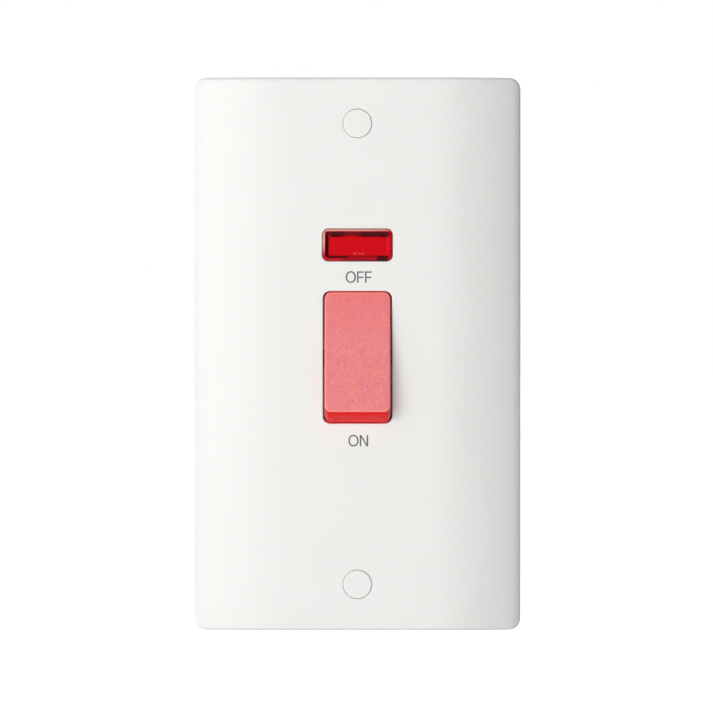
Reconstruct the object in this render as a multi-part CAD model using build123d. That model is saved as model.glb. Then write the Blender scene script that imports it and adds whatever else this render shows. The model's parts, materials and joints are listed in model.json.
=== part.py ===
from build123d import *
from math import asin, cos, radians, sin, sqrt
import os

# Double pole wall switch on a tall plate, with a rocker and a red indicator window.
# Millimetres. X runs to the right, Z up and Y into the wall. The origin is the middle of the
# plate's back plane, which is the wall's surface, midway between the two fixing screws.

# Front plate
PLATE_WIDTH = 86.4
PLATE_HEIGHT = 146.0
PLATE_DEPTH = 9.5
PLATE_WALL = 2.4
PLATE_CORNER_RADIUS = 3.3
PLATE_EDGE_RADIUS = 1.0
FLAT_BAND_WIDTH = 42.0
SHOULDER_DROP = 4.0
ROLL_WIDTH = 2.6
ROLL_RADIUS = 7.0
PLATE_DRAFT = 4.0
TRIM_MARGIN = 0.5
WINDOW_EDGE_RADIUS = 0.35
CAP_HOLE_EDGE_RADIUS = 0.12

# Fixing screws and the caps that hide them
FIXING_CENTRES = 120.6
FIXING_THREAD_RADIUS = 1.75
FIXING_NECK_RADIUS = 1.5
FIXING_LENGTH_BEHIND_WALL = 24.0
FIXING_HEAD_RADIUS = 2.9
FIXING_HEAD_HEIGHT = 2.2
FIXING_HOLE_RADIUS = 2.0
FIXING_BOSS_WALL = 1.7
FIXING_BOSS_SETBACK = 1.0
CAP_RECESS_RADIUS = 3.85
CAP_RECESS_DEPTH = 5.0
CAP_FIT = 0.08
CAP_PROUD = 0.2
CAP_DISC_THICKNESS = 1.1
CAP_SKIRT_WALL = 0.6
CAP_SLIT_WIDTH = 1.2
CAP_EDGE_RADIUS = 0.4

# Rocker
ROCKER_Z = -0.9
ROCKER_WIDTH = 17.3
ROCKER_FACE_LENGTH = 31.3
ROCKER_FACE_HEIGHT = 9.0
ROCKER_THROW = 18.4
ROCKER_WALL = 1.5
ROCKER_BACK_EDGE = 1.0
ROCKER_CORNER_RADIUS = 1.7
ROCKER_FACE_EDGE_RADIUS = 0.6
ROCKER_GAP = 0.15
PIVOT_DEPTH = 6.0
TRUNNION_RADIUS = 2.0
TRUNNION_LENGTH = 3.4
TRUNNION_FIT = 0.06
END_PANEL_WIDTH = 11.8
END_PANEL_HEIGHT = 2.6
END_PANEL_DEPTH = 0.3
END_PANEL_MARGIN = 1.6
SOCKET_LENGTH_BEHIND_PIVOT = 4.5

# Skirt behind the rocker's window, which carries the trunnions
SKIRT_WALL = 2.4
SKIRT_CLEARANCE = 0.55
SKIRT_SETBACK = 0.5

# Plungers and springs in the rocker's sockets
POLE_X = 4.5
PLUNGER_RADIUS = 1.95
PLUNGER_FIT = 0.05
PLUNGER_REACH = 11.5
PLUNGER_LENGTH = 9.3
PLUNGER_SLACK = 0.06
SOCKET_WALL = 0.8
SPRING_WIRE_RADIUS = 0.22
SPRING_TURNS = 6
SPRING_FIT = 0.2

# Moving contact arms
ARM_WIDTH = 5.0
ARM_THICKNESS = 2.0
ARM_SWING = 13.2
ARM_TAIL = 5.2
ARM_END_MARGIN = 2.4
CONTACT_REACH = 13.0
FULCRUM_RADIUS = 0.75
FULCRUM_FIT = 0.05
TIP_RADIUS = 2.0
TIP_THICKNESS = 1.0
TIP_RIM = 0.5
TIP_SHANK_RADIUS = 0.9
TIP_SHANK_FIT = 0.02
TIP_CLOSED_GAP = 0.04

# Strips that join the contacts to the terminals
STRIP_THICKNESS = 1.5
STRIP_FLANGE_HEIGHT = 7.4

# Line and load terminals
WIRE_BORE_RADIUS = 3.4
BLOCK_SIDE_WALL = 2.1
BLOCK_FRONT_WALL = 1.7
BLOCK_THREAD_WALL = 2.8
BLOCK_LENGTH = 12.0
BLOCK_BEHIND_FLOOR = 3.0
BLOCK_FIT = 0.1
BLOCK_INNER_X = 7.0
CLAMP_RADIUS = 2.95
CLAMP_FIT = 0.05
CLAMP_LENGTH = 8.0
CLAMP_HEAD_RADIUS = 4.0
CLAMP_HEAD_HEIGHT = 2.8
CLAMP_TIP_CLEARANCE = 0.2
CLAMP_STOP_GAP = 0.3

# Switch base
BASE_WALL = 2.2
BASE_FLOOR = 2.0
CHAMBER_CLEARANCE = 0.9
SADDLE_OVERHANG = 0.225
DECK_THICKNESS = 1.8
BARRIER_THICKNESS = 1.6
BARRIER_SLOT_WIDTH = 3.6
PARTITION_SETBACK = 2.0
ENTRY_CLEARANCE = 0.5
CHIMNEY_CLEARANCE = 0.3
CHIMNEY_RIM = 0.6
BASE_CORNER_RADIUS = 1.6

# Screws that hold the base to the plate
LUG_OFFSET_X = 4.2
LUG_Z = 13.5
LUG_RADIUS = 3.6
LUG_THICKNESS = 2.6
LUG_BOSS_RADIUS = 3.2
LUG_HOLE_RADIUS = 1.6
BASE_SCREW_RADIUS = 1.4
BASE_SCREW_FIT = 0.02
BASE_SCREW_LENGTH = 8.5
BASE_SCREW_HEAD_RADIUS = 2.7
BASE_SCREW_HEAD_HEIGHT = 2.0

# Indicator window
NEON_Z = 28.5
NEON_WINDOW_WIDTH = 18.4
NEON_WINDOW_HEIGHT = 8.5
NEON_CORNER_RADIUS = 1.6
NEON_GAP = 0.15
NEON_PROUD = 0.45
LENS_WALL = 1.2
LENS_RIM = 0.75
LENS_DISH_DEPTH = 0.6
LENS_DISH_SLOPE = 0.7
LENS_FLANGE = 1.2
LENS_FLANGE_THICKNESS = 1.0
LENS_SKIRT_BEHIND_FLANGE = 0.8
LENS_EDGE_RADIUS = 0.5
NEON_SKIRT_WALL = 1.4
NEON_SKIRT_DEPTH = 4.0
NEON_SKIRT_FIT = 0.2
CARRIER_WALL = 1.0
CARRIER_FLOOR_THICKNESS = 1.2
LAMP_RADIUS = 2.4
LAMP_LENGTH = 11.0
LAMP_GLASS = 0.5
LAMP_DEPTH = 8.3
ELECTRODE_RADIUS = 0.35
ELECTRODE_GAP = 1.6
ELECTRODE_TAIL = 1.4
LEAD_RADIUS = 0.65
LEAD_TIGHT_BEND = 1.1
LEAD_BEND = 2.0
LEAD_WIDE_BEND = 3.5
LEAD_TURN_OUT = 2.5
LEAD_DROP = 5.0
RESISTOR_RADIUS = 1.15
RESISTOR_LENGTH = 6.3

# Earth terminal, in a cradle behind the plate
EARTH_Z = -46.5
EARTH_BORE_RADIUS = 2.4
EARTH_BORE_SPACING = 9.4
EARTH_SIDE_WALL = 1.8
EARTH_LENGTH = 9.0
EARTH_FRONT_WALL = 1.4
EARTH_THREAD_WALL = 2.2
EARTH_SEAT_Y = -1.0
EARTH_SCREW_RADIUS = 1.95
EARTH_SCREW_LENGTH = 6.0
EARTH_HEAD_RADIUS = 3.0
EARTH_HEAD_HEIGHT = 2.2
CRADLE_WALL = 1.5
CRADLE_FIT = 0.1
CRADLE_HOOK = 0.9
CRADLE_HOOK_HEIGHT = 0.9

# The cross in a screw head: its slots' width and depth, and their length over the head's radius
DRIVER_SLOT_WIDTH = 1.0
DRIVER_SLOT_DEPTH = 1.3
DRIVER_SLOT_SPAN = 1.3

# Levels from front to back
FRONT_Y = -PLATE_DEPTH
INNER_Y = FRONT_Y + PLATE_WALL
SHOULDER_RUN = (PLATE_WIDTH - FLAT_BAND_WIDTH) / 2 - ROLL_WIDTH
SHOULDER_RADIUS = (SHOULDER_RUN**2 + SHOULDER_DROP**2) / (2 * SHOULDER_DROP)
SHOULDER_ANGLE = asin(SHOULDER_RUN / SHOULDER_RADIUS)
PIVOT_Y = FRONT_Y + PIVOT_DEPTH
ARM_FRONT_Y = PIVOT_Y + PLUNGER_REACH + PLUNGER_SLACK
ARM_AXIS_Y = ARM_FRONT_Y + ARM_THICKNESS
HALF_SWING = radians(ARM_SWING / 2)
TIP_DOME = TIP_THICKNESS - TIP_RIM
TIP_DOME_RADIUS = (TIP_RADIUS**2 + TIP_DOME**2) / (2 * TIP_DOME)
TIP_REACH_BACK = (
    TIP_DOME_RADIUS
    - (TIP_DOME_RADIUS - TIP_THICKNESS) * cos(HALF_SWING)
    + CONTACT_REACH * sin(HALF_SWING)
)
FIXED_TIP_Y = ARM_AXIS_Y + TIP_REACH_BACK + TIP_CLOSED_GAP
STRIP_FRONT_Y = FIXED_TIP_Y + TIP_THICKNESS
FLOOR_Y = STRIP_FRONT_Y + STRIP_THICKNESS
BLOCK_BACK_Y = FLOOR_Y + BLOCK_BEHIND_FLOOR
BLOCK_FRONT_Y = BLOCK_BACK_Y - BLOCK_THREAD_WALL - 2 * WIRE_BORE_RADIUS - BLOCK_FRONT_WALL
WIRE_Y = BLOCK_FRONT_Y + BLOCK_FRONT_WALL + WIRE_BORE_RADIUS
DECK_Y = BLOCK_FRONT_Y - BLOCK_FIT - DECK_THICKNESS
CLAMP_TIP_Y = WIRE_Y + WIRE_BORE_RADIUS + CLAMP_TIP_CLEARANCE
CLAMP_HEAD_Y = CLAMP_TIP_Y + CLAMP_LENGTH
CLAMP_TRAVEL = CLAMP_HEAD_Y - BLOCK_BACK_Y - CLAMP_STOP_GAP
BASE_BACK_Y = CLAMP_HEAD_Y + CLAMP_HEAD_HEIGHT + CHIMNEY_RIM
LENS_SEAT_Y = INNER_Y + LENS_FLANGE_THICKNESS
LENS_BACK_Y = LENS_SEAT_Y + LENS_SKIRT_BEHIND_FLANGE
LAMP_Y = FRONT_Y + LAMP_DEPTH
EARTH_WIRE_Y = EARTH_SEAT_Y + EARTH_FRONT_WALL + EARTH_BORE_RADIUS
EARTH_BACK_Y = EARTH_WIRE_Y + EARTH_BORE_RADIUS + EARTH_THREAD_WALL
EARTH_TIP_Y = EARTH_WIRE_Y + EARTH_BORE_RADIUS + CLAMP_TIP_CLEARANCE
EARTH_HEAD_Y = EARTH_TIP_Y + EARTH_SCREW_LENGTH
EARTH_TRAVEL = EARTH_HEAD_Y - EARTH_BACK_Y - CLAMP_STOP_GAP

# Sizes across and up the switch
ROCKER_END_RADIUS = sqrt((ROCKER_FACE_LENGTH / 2) ** 2 + ROCKER_FACE_HEIGHT**2)
SKIRT_INNER_X = ROCKER_WIDTH / 2 + ROCKER_GAP + SKIRT_CLEARANCE
SKIRT_INNER_Z = ROCKER_END_RADIUS + SKIRT_CLEARANCE
SOCKET_BORE_RADIUS = PLUNGER_RADIUS + PLUNGER_FIT
SOCKET_RADIUS = SOCKET_BORE_RADIUS + SOCKET_WALL
CHAMBER_HALF_HEIGHT = ROCKER_END_RADIUS + CHAMBER_CLEARANCE + STRIP_THICKNESS
BLOCK_WIDTH = 2 * (WIRE_BORE_RADIUS + BLOCK_SIDE_WALL)
TERMINAL_X = BLOCK_INNER_X + BLOCK_WIDTH / 2
TERMINAL_Z = CHAMBER_HALF_HEIGHT + BLOCK_LENGTH / 2
BASE_HALF_WIDTH = BLOCK_INNER_X + BLOCK_WIDTH + BLOCK_FIT + BASE_WALL
BASE_HALF_HEIGHT = CHAMBER_HALF_HEIGHT + BLOCK_LENGTH + BLOCK_FIT + BASE_WALL
LUG_X = BASE_HALF_WIDTH + LUG_OFFSET_X
EARTH_WIDTH = EARTH_BORE_SPACING + 2 * (EARTH_BORE_RADIUS + EARTH_SIDE_WALL)
REST_TILT = -ROCKER_THROW / 2
REST_SWING = ARM_SWING / 2


def span(x0, x1, y0, y1, z0, z1):
    """A block between two corners."""
    return Pos((x0 + x1) / 2, (y0 + y1) / 2, (z0 + z1) / 2) * Box(x1 - x0, y1 - y0, z1 - z0)


def rod_x(radius, x0, x1, y, z):
    return Pos((x0 + x1) / 2, y, z) * Rot(0, 90, 0) * Cylinder(radius, x1 - x0)


def rod_y(radius, y0, y1, x, z):
    return Pos(x, (y0 + y1) / 2, z) * Rot(90, 0, 0) * Cylinder(radius, y1 - y0)


def rod_z(radius, z0, z1, x, y):
    return Pos(x, y, (z0 + z1) / 2) * Cylinder(radius, z1 - z0)


def facing(y):
    """The plane across the object at depth y, seen from the front."""
    return Plane(origin=(0, y, 0), x_dir=(1, 0, 0), z_dir=(0, -1, 0))


def slab(width, height, radius, y0, y1, x=0.0, z=0.0, draft=0.0):
    """A rounded rectangle that runs from depth y0 back to y1, and narrows to the front by its draft."""
    outline = Pos(x, z) * RectangleRounded(width, height, radius)
    return extrude(facing(y1) * outline, y1 - y0, taper=draft)


def funnel(front, back, radius, y0, y1, z):
    """A hole whose rounded rectangle changes from front to back, each given as width and height."""
    near = facing(y0) * (Pos(0, z) * RectangleRounded(*front, radius))
    far = facing(y1) * (Pos(0, z) * RectangleRounded(*back, radius))
    return loft([near, far])


def both_sides(piece):
    """The piece and its mirror image on the other side of the centre line."""
    return piece + mirror(piece, about=Plane.YZ)


def at_pivot(piece, angle):
    """A piece modelled about the rocker's pivot, put in place and turned."""
    return Pos(0, PIVOT_Y, ROCKER_Z) * Rot(angle, 0, 0) * piece


def edges_in_plane(piece, y, half_width, low_z, high_z):
    """The edges that lie in the plane at depth y, inside a window of it."""
    found = []
    for edge in piece.edges():
        box = edge.bounding_box()
        flat = abs(box.min.Y - y) < 1e-3 and abs(box.max.Y - y) < 1e-3
        inside = abs(box.center().X) < half_width and low_z < box.center().Z < high_z
        if flat and inside:
            found.append(edge)
    return found


def cross_recess(radius, y_face, x, z):
    """The driver's cross, cut into a screw head that faces backwards or forwards at depth y_face."""
    depth = 2 * DRIVER_SLOT_DEPTH
    upright = Pos(x, y_face, z) * Box(DRIVER_SLOT_WIDTH, depth, DRIVER_SLOT_SPAN * radius)
    level = Pos(x, y_face, z) * Box(DRIVER_SLOT_SPAN * radius, depth, DRIVER_SLOT_WIDTH)
    return upright + level


# Front plate: a hollow moulding, flat down the middle with shoulders that fall away to the sides


def plate_section(inset):
    """The moulding's outline seen from below, inset by a wall and carried past its sides for trimming."""
    flat = FLAT_BAND_WIDTH / 2
    front_y = FRONT_Y + inset
    shoulder = SHOULDER_RADIUS - inset
    roll = ROLL_RADIUS - inset
    roll_x = flat + (SHOULDER_RADIUS - ROLL_RADIUS) * sin(SHOULDER_ANGLE)
    roll_y = FRONT_Y + SHOULDER_RADIUS - (SHOULDER_RADIUS - ROLL_RADIUS) * cos(SHOULDER_ANGLE)
    side_x = PLATE_WIDTH / 2 - inset + TRIM_MARGIN
    side_angle = asin((side_x - roll_x) / roll)

    def on_shoulder(angle):
        return flat + shoulder * sin(angle), front_y + shoulder * (1 - cos(angle))

    def on_roll(angle):
        return roll_x + roll * sin(angle), roll_y - roll * cos(angle)

    half = [
        Line((0, 0), (0, front_y)),
        Line((0, front_y), (flat, front_y)),
        ThreePointArc((flat, front_y), on_shoulder(SHOULDER_ANGLE / 2), on_shoulder(SHOULDER_ANGLE)),
        ThreePointArc(
            on_roll(SHOULDER_ANGLE), on_roll((SHOULDER_ANGLE + side_angle) / 2), on_roll(side_angle)
        ),
        Line(on_roll(side_angle), (side_x, 0)),
        Line((side_x, 0), (0, 0)),
    ]
    right = make_face(Curve() + half)
    return right + mirror(right, about=Plane.YZ)


def plate_blank():
    blank = extrude(plate_section(0), PLATE_HEIGHT / 2 + TRIM_MARGIN, both=True)
    blank &= slab(
        PLATE_WIDTH, PLATE_HEIGHT, PLATE_CORNER_RADIUS, -1.2 * PLATE_DEPTH, 0, draft=PLATE_DRAFT
    )
    rim = []
    for edge in blank.edges():
        middle = edge.position_at(0.5)
        along = edge.tangent_at(0.5)
        at_side = abs(middle.X) > PLATE_WIDTH / 2 - PLATE_CORNER_RADIUS
        at_end = abs(middle.Z) > PLATE_HEIGHT / 2 - PLATE_CORNER_RADIUS
        if (at_side or at_end) and middle.Y < -PLATE_EDGE_RADIUS and abs(along.Y) < 0.9:
            rim.append(edge)
    blank = fillet(rim, PLATE_EDGE_RADIUS)
    hollow = extrude(plate_section(PLATE_WALL), PLATE_HEIGHT / 2, both=True)
    inner_corner = PLATE_CORNER_RADIUS - PLATE_WALL / 2
    hollow &= slab(
        PLATE_WIDTH - 2 * PLATE_WALL, PLATE_HEIGHT - 2 * PLATE_WALL, inner_corner,
        -1.2 * PLATE_DEPTH, 0, draft=PLATE_DRAFT,
    )
    return blank - hollow


def rocker_window():
    """The rocker's hole, which follows the sweep of the rocker's round ends."""
    front_half = sqrt(ROCKER_END_RADIUS**2 - PIVOT_DEPTH**2) + ROCKER_GAP
    back_half = sqrt(ROCKER_END_RADIUS**2 - (PIVOT_DEPTH - PLATE_WALL) ** 2) + ROCKER_GAP
    slope = (back_half - front_half) / PLATE_WALL
    width = ROCKER_WIDTH + 2 * ROCKER_GAP
    front = (width, 2 * (front_half - slope))
    back = (width + 2 * SKIRT_CLEARANCE, 2 * (back_half + slope))
    radius = ROCKER_CORNER_RADIUS + ROCKER_GAP
    return funnel(front, back, radius, FRONT_Y - 1, INNER_Y + 1, ROCKER_Z)


def rocker_skirt():
    """Walls round the back of the window, notched from behind for the rocker's trunnions."""
    back_y = -SKIRT_SETBACK
    radius = ROCKER_CORNER_RADIUS + SKIRT_WALL
    front_y = INNER_Y - PLATE_WALL / 2
    outer = slab(
        2 * (SKIRT_INNER_X + SKIRT_WALL), 2 * (SKIRT_INNER_Z + SKIRT_WALL), radius,
        front_y, back_y, z=ROCKER_Z,
    )
    inner = slab(
        2 * SKIRT_INNER_X, 2 * SKIRT_INNER_Z, ROCKER_CORNER_RADIUS + ROCKER_GAP,
        front_y, back_y, z=ROCKER_Z,
    )
    notch_radius = TRUNNION_RADIUS + TRUNNION_FIT
    reach = SKIRT_INNER_X + SKIRT_WALL + 1
    notch = rod_x(notch_radius, -reach, reach, PIVOT_Y, ROCKER_Z)
    notch += span(-reach, reach, PIVOT_Y, back_y, ROCKER_Z - notch_radius, ROCKER_Z + notch_radius)
    return outer - inner - notch


def neon_skirt():
    """A frame that locates the lens and the lamp's carrier behind the window."""
    front_y = INNER_Y - PLATE_WALL / 2
    back_y = INNER_Y + NEON_SKIRT_DEPTH
    width = NEON_WINDOW_WIDTH + 2 * (LENS_FLANGE + NEON_SKIRT_FIT)
    height = NEON_WINDOW_HEIGHT + 2 * (LENS_FLANGE + NEON_SKIRT_FIT)
    radius = NEON_CORNER_RADIUS + LENS_FLANGE
    outer = slab(
        width + 2 * NEON_SKIRT_WALL, height + 2 * NEON_SKIRT_WALL, radius + NEON_SKIRT_WALL,
        front_y, back_y, z=NEON_Z,
    )
    return outer - slab(width, height, radius, front_y, back_y, z=NEON_Z)


def earth_cradle():
    """A raised seat with cheeks and snap hooks, which holds the earth terminal clear of the rim."""
    half = EARTH_WIDTH / 2 + CRADLE_FIT
    front_y = INNER_Y - PLATE_WALL / 2
    back_y = EARTH_BACK_Y + CRADLE_FIT
    low = EARTH_Z - EARTH_LENGTH / 2 - CRADLE_FIT
    high = EARTH_Z + EARTH_LENGTH / 2 + CRADLE_FIT
    cheek = span(half, half + CRADLE_WALL, front_y, back_y + CRADLE_HOOK_HEIGHT, low, high)
    hook = Polyline(
        (half, back_y),
        (half - CRADLE_HOOK, back_y),
        (half, back_y + CRADLE_HOOK_HEIGHT),
        (half, back_y),
    )
    hook_height = EARTH_LENGTH / 2
    lip = Pos(0, 0, EARTH_Z) * extrude(make_face(hook), hook_height / 2, both=True)
    outer = half + CRADLE_WALL
    sill_y = EARTH_SEAT_Y + EARTH_FRONT_WALL / 2
    stop = span(-outer, outer, front_y, back_y, high, high + CRADLE_WALL)
    sill = span(-outer, outer, front_y, sill_y, low - CRADLE_WALL, low)
    cradle = both_sides(cheek + lip) + stop + sill
    for x in (-EARTH_BORE_SPACING / 2, 0, EARTH_BORE_SPACING / 2):
        rib = CRADLE_WALL / 2
        cradle += span(x - rib, x + rib, front_y, EARTH_SEAT_Y, low, high)
    return cradle


def fixing_boss(z):
    """The pillar round a fixing screw, with a web that ties it to the end of the plate."""
    radius = CAP_RECESS_RADIUS + FIXING_BOSS_WALL
    front_y = INNER_Y - PLATE_WALL / 2
    boss = rod_y(radius, front_y, -FIXING_BOSS_SETBACK, 0, z)
    end = PLATE_HEIGHT / 2 - PLATE_WALL / 2
    low, high = (z, end) if z > 0 else (-end, z)
    half_web = PLATE_WALL / 2
    return boss + span(-half_web, half_web, front_y, -2 * FIXING_BOSS_SETBACK, low, high)


def fixing_hole(z):
    floor_y = FRONT_Y + CAP_RECESS_DEPTH
    recess = rod_y(CAP_RECESS_RADIUS, FRONT_Y - 1, floor_y, 0, z)
    return recess + rod_y(FIXING_HOLE_RADIUS, floor_y - 1, 0, 0, z)


def lug_places():
    places = []
    for side in (-1, 1):
        for end in (-1, 1):
            places.append((side * LUG_X, ROCKER_Z + end * LUG_Z))
    return places


def front_plate():
    plate = plate_blank()
    plate -= rocker_window()
    plate -= slab(
        NEON_WINDOW_WIDTH, NEON_WINDOW_HEIGHT, NEON_CORNER_RADIUS, FRONT_Y - 1, INNER_Y, z=NEON_Z
    )
    for z in (-FIXING_CENTRES / 2, FIXING_CENTRES / 2):
        plate += fixing_boss(z)
        plate -= fixing_hole(z)
    cap_edge = (FIXING_CENTRES - CAP_RECESS_RADIUS) / 2
    windows = edges_in_plane(plate, FRONT_Y, FLAT_BAND_WIDTH / 2 - 1, -cap_edge, cap_edge)
    plate = fillet(windows, WINDOW_EDGE_RADIUS)
    half_height = PLATE_HEIGHT / 2 - PLATE_CORNER_RADIUS
    for low, high in ((-half_height, -cap_edge), (cap_edge, half_height)):
        hole = edges_in_plane(plate, FRONT_Y, CAP_RECESS_RADIUS, low, high)
        plate = fillet(hole, CAP_HOLE_EDGE_RADIUS)
    plate += rocker_skirt() + neon_skirt() + earth_cradle()
    for x, z in lug_places():
        plate += rod_y(LUG_BOSS_RADIUS, INNER_Y - PLATE_WALL / 4, 0, x, z)
        pilot = BASE_SCREW_RADIUS + BASE_SCREW_FIT
        plate -= rod_y(pilot, LUG_THICKNESS - BASE_SCREW_LENGTH - BASE_SCREW_FIT, 0, x, z)
    return plate


# Caps and fixing screws


def screw_cap(z):
    """A push-in cap: a disc with a slit skirt that grips the recess."""
    radius = CAP_RECESS_RADIUS - CAP_FIT
    floor_y = FRONT_Y + CAP_RECESS_DEPTH
    top_y = FRONT_Y - CAP_PROUD
    disc = rod_y(radius, top_y, FRONT_Y + CAP_DISC_THICKNESS, 0, z)
    front = [e for e in disc.edges() if e.center().Y < top_y + 1e-3]
    disc = fillet(front, CAP_EDGE_RADIUS)
    skirt = rod_y(radius, FRONT_Y + CAP_DISC_THICKNESS, floor_y - CAP_FIT, 0, z)
    skirt -= rod_y(radius - CAP_SKIRT_WALL, FRONT_Y + CAP_DISC_THICKNESS, floor_y, 0, z)
    slit_y = FRONT_Y + CAP_DISC_THICKNESS + CAP_SLIT_WIDTH / 2
    half = CAP_SLIT_WIDTH / 2
    skirt -= span(-half, half, slit_y, floor_y, z - 2 * radius, z + 2 * radius)
    skirt -= span(-2 * radius, 2 * radius, slit_y, floor_y, z - half, z + half)
    return disc + skirt


def fixing_screw(z):
    """A machine screw: its head seats in the recess and its thread stands out behind the wall plane."""
    seat_y = FRONT_Y + CAP_RECESS_DEPTH
    neck_end = -FIXING_BOSS_SETBACK / 2
    head = rod_y(FIXING_HEAD_RADIUS, seat_y - FIXING_HEAD_HEIGHT, seat_y, 0, z)
    crown = [e for e in head.edges() if e.center().Y < seat_y - FIXING_HEAD_HEIGHT + 1e-3]
    head = fillet(crown, FIXING_HEAD_HEIGHT / 3)
    neck = rod_y(FIXING_NECK_RADIUS, seat_y, neck_end, 0, z)
    thread = rod_y(FIXING_THREAD_RADIUS, neck_end, FIXING_LENGTH_BEHIND_WALL, 0, z)
    tip = [e for e in thread.edges() if e.center().Y > FIXING_LENGTH_BEHIND_WALL - 1e-3]
    thread = chamfer(tip, FIXING_THREAD_RADIUS / 4)
    recess = cross_recess(FIXING_HEAD_RADIUS, seat_y - FIXING_HEAD_HEIGHT, 0, z)
    return head + neck + thread - recess


# Rocker: a hollow dolly with round ends, trunnions at its sides and two sockets inside


def rocker_section(end_radius, face_height, back_edge):
    """The dolly's outline seen from the side, about its pivot, with ends struck from the pivot."""
    half = sqrt(end_radius**2 - face_height**2)
    back_half = sqrt(end_radius**2 - back_edge**2)
    lines = [
        Line((-face_height, -half), (-face_height, half)),
        ThreePointArc((-face_height, half), (0, end_radius), (back_edge, back_half)),
        Line((back_edge, back_half), (back_edge, -back_half)),
        ThreePointArc((back_edge, -back_half), (0, -end_radius), (-face_height, -half)),
    ]
    return make_face(Plane.YZ * (Curve() + lines))


def rocker_shell():
    outer = extrude(
        rocker_section(ROCKER_END_RADIUS, ROCKER_FACE_HEIGHT, ROCKER_BACK_EDGE), ROCKER_WIDTH / 2, both=True
    )
    ends = []
    for edge in outer.edges():
        middle = edge.position_at(0.5)
        at_side = abs(abs(middle.X) - ROCKER_WIDTH / 2) < 1e-3
        if at_side and edge.geom_type == GeomType.CIRCLE:
            ends.append(edge)
    outer = fillet(ends, ROCKER_CORNER_RADIUS)
    face = [e for e in outer.edges() if abs(e.bounding_box().max.Y + ROCKER_FACE_HEIGHT) < 1e-3]
    outer = fillet(face, ROCKER_FACE_EDGE_RADIUS)
    inner = extrude(
        rocker_section(
            ROCKER_END_RADIUS - ROCKER_WALL, ROCKER_FACE_HEIGHT - ROCKER_WALL, 2 * ROCKER_BACK_EDGE
        ),
        ROCKER_WIDTH / 2 - ROCKER_WALL,
        both=True,
    )
    return outer - inner


def end_panels():
    """Shallow panels sunk in both round ends, following their curve."""
    half = END_PANEL_WIDTH / 2
    top = -ROCKER_FACE_HEIGHT + END_PANEL_MARGIN
    bottom = top + END_PANEL_HEIGHT
    band = span(-half, half, top, bottom, -2 * ROCKER_END_RADIUS, 2 * ROCKER_END_RADIUS)
    return band - rod_x(ROCKER_END_RADIUS - END_PANEL_DEPTH, -half, half, 0, 0)


def rocker():
    dolly = rocker_shell() - end_panels()
    floor = -ROCKER_FACE_HEIGHT + ROCKER_WALL
    for side in (-1, 1):
        x = side * POLE_X
        dolly += rod_y(SOCKET_RADIUS, floor - ROCKER_WALL / 2, SOCKET_LENGTH_BEHIND_PIVOT, x, 0)
        dolly -= rod_y(SOCKET_BORE_RADIUS, floor, SOCKET_LENGTH_BEHIND_PIVOT, x, 0)
    inner = ROCKER_WIDTH / 2 - ROCKER_WALL
    outer = ROCKER_WIDTH / 2 + TRUNNION_LENGTH
    cheek_radius = TRUNNION_RADIUS + ROCKER_WALL / 2
    cheek = rod_x(cheek_radius, inner, ROCKER_WIDTH / 2, 0, 0)
    trunnion = rod_x(TRUNNION_RADIUS, inner, outer, 0, 0)
    end = [e for e in trunnion.edges() if e.center().X > outer - 1e-3]
    dolly += both_sides(cheek + chamfer(end, TRUNNION_RADIUS / 6))
    return at_pivot(dolly, REST_TILT)


def plunger(side):
    """A round-nosed pin, bored from the front for its spring."""
    x = side * POLE_X
    nose_centre = PLUNGER_REACH - PLUNGER_RADIUS
    start = PLUNGER_REACH - PLUNGER_LENGTH
    pin = rod_y(PLUNGER_RADIUS, start, nose_centre, x, 0)
    pin += Pos(x, nose_centre, 0) * Sphere(PLUNGER_RADIUS)
    rim = [e for e in pin.edges() if e.center().Y < start + 1e-3]
    pin = chamfer(rim, PLUNGER_RADIUS / 8)
    return at_pivot(pin, REST_TILT)


def spring(side):
    """A compression spring between the socket's floor and the plunger."""
    front = -ROCKER_FACE_HEIGHT + ROCKER_WALL
    back = PLUNGER_REACH - PLUNGER_LENGTH
    radius = SOCKET_BORE_RADIUS - SPRING_FIT - SPRING_WIRE_RADIUS
    height = back - front - 2 * SPRING_WIRE_RADIUS
    coil = Helix(height / SPRING_TURNS, height, radius)
    wire = sweep(Plane(coil @ 0, z_dir=coil % 0) * Circle(SPRING_WIRE_RADIUS), path=coil)
    placed = Pos(side * POLE_X, back - SPRING_WIRE_RADIUS, 0) * Rot(90, 0, 0) * wire
    return at_pivot(placed, REST_TILT)


# Contacts: a rocking arm on a knife edge, silver tips and the strips to the terminals


def tip_profile():
    """Half of a contact rivet's section, with a low dome: x is the radius and y the height."""
    lines = [
        Line((0, 0), (TIP_RADIUS, 0)),
        Line((TIP_RADIUS, 0), (TIP_RADIUS, TIP_RIM)),
        ThreePointArc(
            (TIP_RADIUS, TIP_RIM),
            (
                TIP_RADIUS / 2,
                TIP_THICKNESS - TIP_DOME_RADIUS + sqrt(TIP_DOME_RADIUS**2 - TIP_RADIUS**2 / 4),
            ),
            (0, TIP_THICKNESS),
        ),
        Line((0, TIP_THICKNESS), (0, 0)),
    ]
    return make_face(Curve() + lines)


def at_arm(piece, side):
    """A piece modelled about the knife edge, put in place with the contacts open."""
    return Pos(side * POLE_X, ARM_AXIS_Y, ROCKER_Z) * Rot(REST_SWING, 0, 0) * piece


def contact_arm(side):
    top = CONTACT_REACH + ARM_END_MARGIN
    length = top + ARM_TAIL
    middle = (top - ARM_TAIL) / 2
    outline = Pos(0, middle) * RectangleRounded(ARM_WIDTH, length, ARM_WIDTH / 4)
    arm = extrude(facing(0) * outline, ARM_THICKNESS)
    arm -= rod_x(FULCRUM_RADIUS + FULCRUM_FIT, -ARM_WIDTH, ARM_WIDTH, 0, 0)
    arm -= rod_y(TIP_SHANK_RADIUS + TIP_SHANK_FIT, -2 * ARM_THICKNESS, 1, 0, CONTACT_REACH)
    return at_arm(arm, side)


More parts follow.
